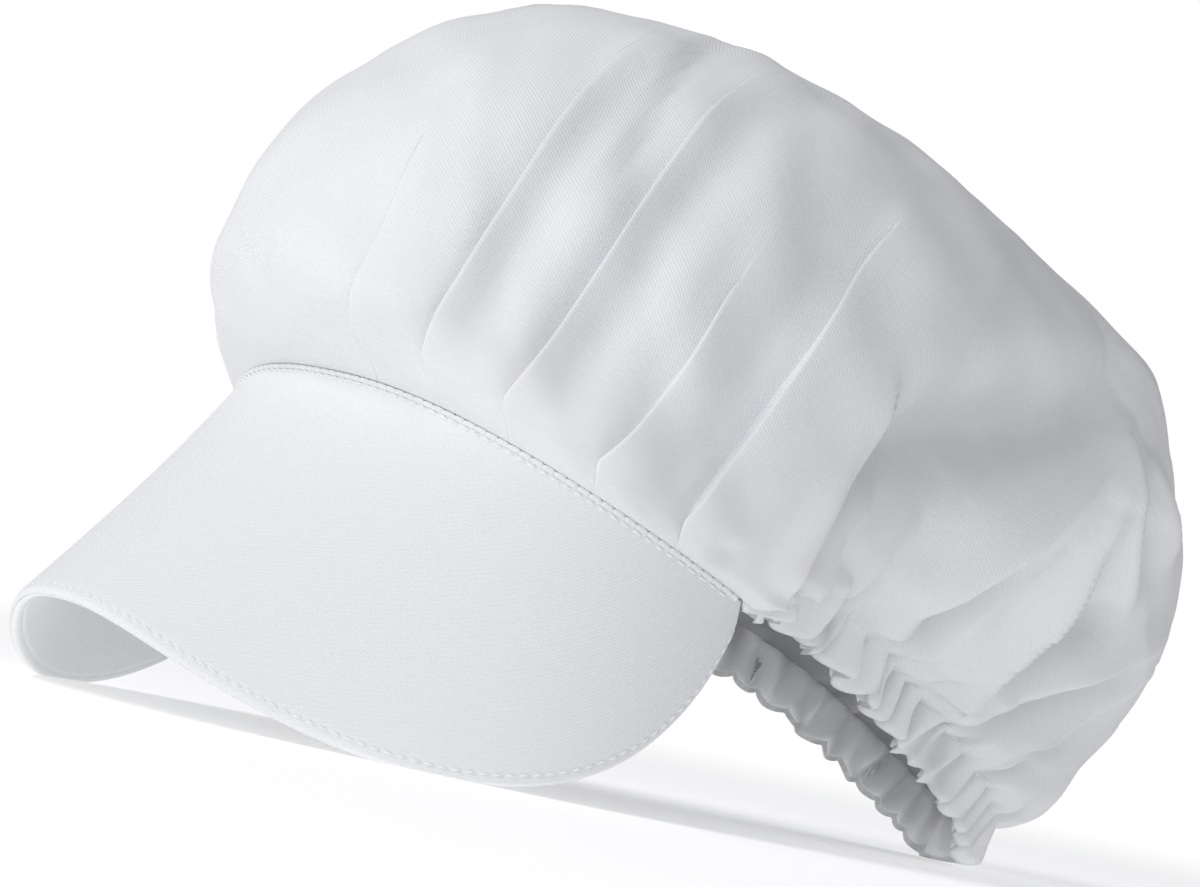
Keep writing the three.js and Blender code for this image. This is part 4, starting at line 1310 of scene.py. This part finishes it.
class CAP_OT_stitches(CapMaker, bpy.types.Operator):
    """Make the rows of stitches: below the seam, round the peak and along the casing"""

    bl_idname = "cap.stitches"
    bl_label = "Stitches"

    def make(self, sizes, colours):
        material = sewing_thread("thread", colours.thread)
        rows = [
            ("seam_stitches", seam_stitch_path(), "peak_cloth"),
            ("edge_stitches", edge_stitch_path(sizes), "peak_cloth"),
            ("casing_stitches", casing_stitch_path(sizes), "hem_cloth"),
        ]
        for name, path, slot in rows:
            make_piece(name, stitch_mesh(*path, sizes), material, slot)


# the photo's camera, fitted to the seam, peak and hem, its target in millimetres about the temple line
CAMERA_AZIMUTH = math.radians(53.9)
CAMERA_ELEVATION = math.radians(-0.44)
CAMERA_ROLL = math.radians(12.2)
CAMERA_TARGET = (16.7, -1.7, 69.5)
CAMERA_DISTANCE = 2.0
CAMERA_LENS = 300
CAMERA_SENSOR = 36

# the stage, in metres: the floor's rings, where its fading starts and ends, its glow, the world's light, and
# the lights with their places to the right of, above and in front of the target as the camera sees it
FLOOR_RINGS = (0.1, 0.3, 0.5, 0.75)
FLOOR_SIDES = 96
FLOOR_SOLID = 0.3
FLOOR_GONE = 0.7125
FLOOR_GLOW = 0.36
WORLD_LIGHT = 0.42
WORLD_TINT = (0.955, 0.96, 1, 1)
Light = namedtuple("Light", "name place size power colour")
LIGHTS = [
    Light("key", (-1.25, 1.15, 0.6), 0.9, 13, (1, 0.995, 0.99)),
    Light("fill", (-0.4, -0.03, 1.6), 0.8, 6, (0.97, 0.975, 1)),
]


def camera_axes():
    """Right, up and back of the photo's camera, rolled about its line of sight, and its right when level."""
    a, e, r = CAMERA_AZIMUTH, CAMERA_ELEVATION, CAMERA_ROLL
    back = Vector((math.sin(a) * math.cos(e), -math.cos(a) * math.cos(e), math.sin(e)))
    level = Vector((math.cos(a), math.sin(a), 0))
    upright = back.cross(level)
    right = math.cos(r) * level + math.sin(r) * upright
    return right, back.cross(right), back, level


def make_camera():
    """The photo's camera: long lens, two metres away."""
    right, up, back, _ = camera_axes()
    data = bpy.data.cameras.new("camera")
    data.lens = CAMERA_LENS
    data.sensor_width = CAMERA_SENSOR
    data.clip_start = 0.01
    data.clip_end = 100
    camera = bpy.data.objects.new("camera", data)
    target = Vector(to_frame(CAMERA_TARGET))
    turn = Matrix((right, up, back)).transposed().to_4x4()
    camera.matrix_world = Matrix.Translation(target + back * CAMERA_DISTANCE) @ turn
    bpy.context.scene.collection.objects.link(camera)
    bpy.context.scene.camera = camera


def make_light(light):
    """A square soft light that faces the cap."""
    _, _, back, level = camera_axes()
    right, high, near = light.place
    way = level * right + Vector((0, 0, high)) + back * near
    data = bpy.data.lights.new(light.name, "AREA")
    data.shape = "SQUARE"
    data.size = light.size
    data.energy = light.power
    data.color = light.colour
    item = bpy.data.objects.new(light.name, data)
    turn = way.to_track_quat("Z", "Y").to_matrix().to_4x4()
    item.matrix_world = Matrix.Translation(Vector(to_frame(CAMERA_TARGET)) + way) @ turn
    bpy.context.scene.collection.objects.link(item)


def make_world():
    """Pale world: white to the camera, softer as a light."""
    world = bpy.data.worlds.new("studio")
    world.use_nodes = True
    tree = world.node_tree
    ground = tree.nodes["Background"]
    seen = tree.nodes.new("ShaderNodeBackground")
    path = tree.nodes.new("ShaderNodeLightPath")
    mix = tree.nodes.new("ShaderNodeMixShader")
    ground.inputs["Color"].default_value = WORLD_TINT
    ground.inputs["Strength"].default_value = WORLD_LIGHT
    seen.inputs["Color"].default_value = (1, 1, 1, 1)
    seen.inputs["Strength"].default_value = 1.0
    tree.links.new(path.outputs["Is Camera Ray"], mix.inputs[0])
    tree.links.new(ground.outputs[0], mix.inputs[1])
    tree.links.new(seen.outputs[0], mix.inputs[2])
    tree.links.new(mix.outputs[0], tree.nodes["World Output"].inputs[0])
    bpy.context.scene.world = world


def make_floor(colour):
    """Pale round floor that fades out before its edge."""
    ring = np.stack([*circle(FLOOR_SIDES), np.zeros(FLOOR_SIDES)], -1)
    points = (np.array(FLOOR_RINGS)[:, None, None] * ring).reshape(-1, 3)
    rings = grid_faces(len(FLOOR_RINGS), FLOOR_SIDES, True)[:, ::-1]
    faces = [*rings, *fan_faces(np.arange(FLOOR_SIDES), len(points))]
    finish = Finish("pale floor")
    place = finish.node("TexCoord", output=3)
    reach = finish.node("VectorMath", {"operation": "LENGTH"}, output=1, Vector=place)
    fade = finish.node("MapRange", {"interpolation_type": "SMOOTHSTEP"}, Value=reach, From_Min=FLOOR_SOLID,
                       From_Max=FLOOR_GONE, To_Min=1.0, To_Max=0.0)
    finish.plug(Base_Color=tinted(colour), Roughness=0.9, Emission_Color=[1, 1, 1, 1],
                Emission_Strength=FLOOR_GLOW, Alpha=fade)
    mesh_object("floor", np.concatenate([points, [[0, 0, 0]]]), faces, finish.material)


class CAP_OT_stage(CapMaker, bpy.types.Operator):
    """Make the floor, the lights and the camera"""

    bl_idname = "cap.stage"
    bl_label = "Stage"

    def make(self, sizes, colours):
        make_floor(colours.floor)
        make_world()
        for light in LIGHTS:
            make_light(light)
        make_camera()
        bpy.context.scene.view_settings.view_transform = "Standard"


OPERATORS = (CAP_OT_crown, CAP_OT_peak, CAP_OT_hem, CAP_OT_stitches, CAP_OT_stage)


class CAP_PT_panel(bpy.types.Panel):
    """Sizes, colours and makers of the cap"""

    bl_label = "Work cap"
    bl_space_type = "VIEW_3D"
    bl_region_type = "UI"
    bl_category = "Cap"

    def draw(self, context):
        for group in (context.scene.cap_sizes, context.scene.cap_colours):
            for name in group.__annotations__:
                self.layout.prop(group, name)
        for operator in OPERATORS:
            self.layout.operator(operator.bl_idname)


CLASSES = (CapSizes, CapColours, *OPERATORS, CAP_PT_panel)


def register():
    """Add the classes and the scene's settings."""
    for cls in CLASSES:
        bpy.utils.register_class(cls)
    bpy.types.Scene.cap_sizes = PointerProperty(type=CapSizes)
    bpy.types.Scene.cap_colours = PointerProperty(type=CapColours)


def unregister():
    """Take them away again."""
    del bpy.types.Scene.cap_colours
    del bpy.types.Scene.cap_sizes
    for cls in reversed(CLASSES):
        bpy.utils.unregister_class(cls)


def main():
    """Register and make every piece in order."""
    register()
    bpy.ops.cap.crown()
    bpy.ops.cap.peak()
    bpy.ops.cap.hem()
    bpy.ops.cap.stitches()
    bpy.ops.cap.stage()


if __name__ == "__main__":
    main()
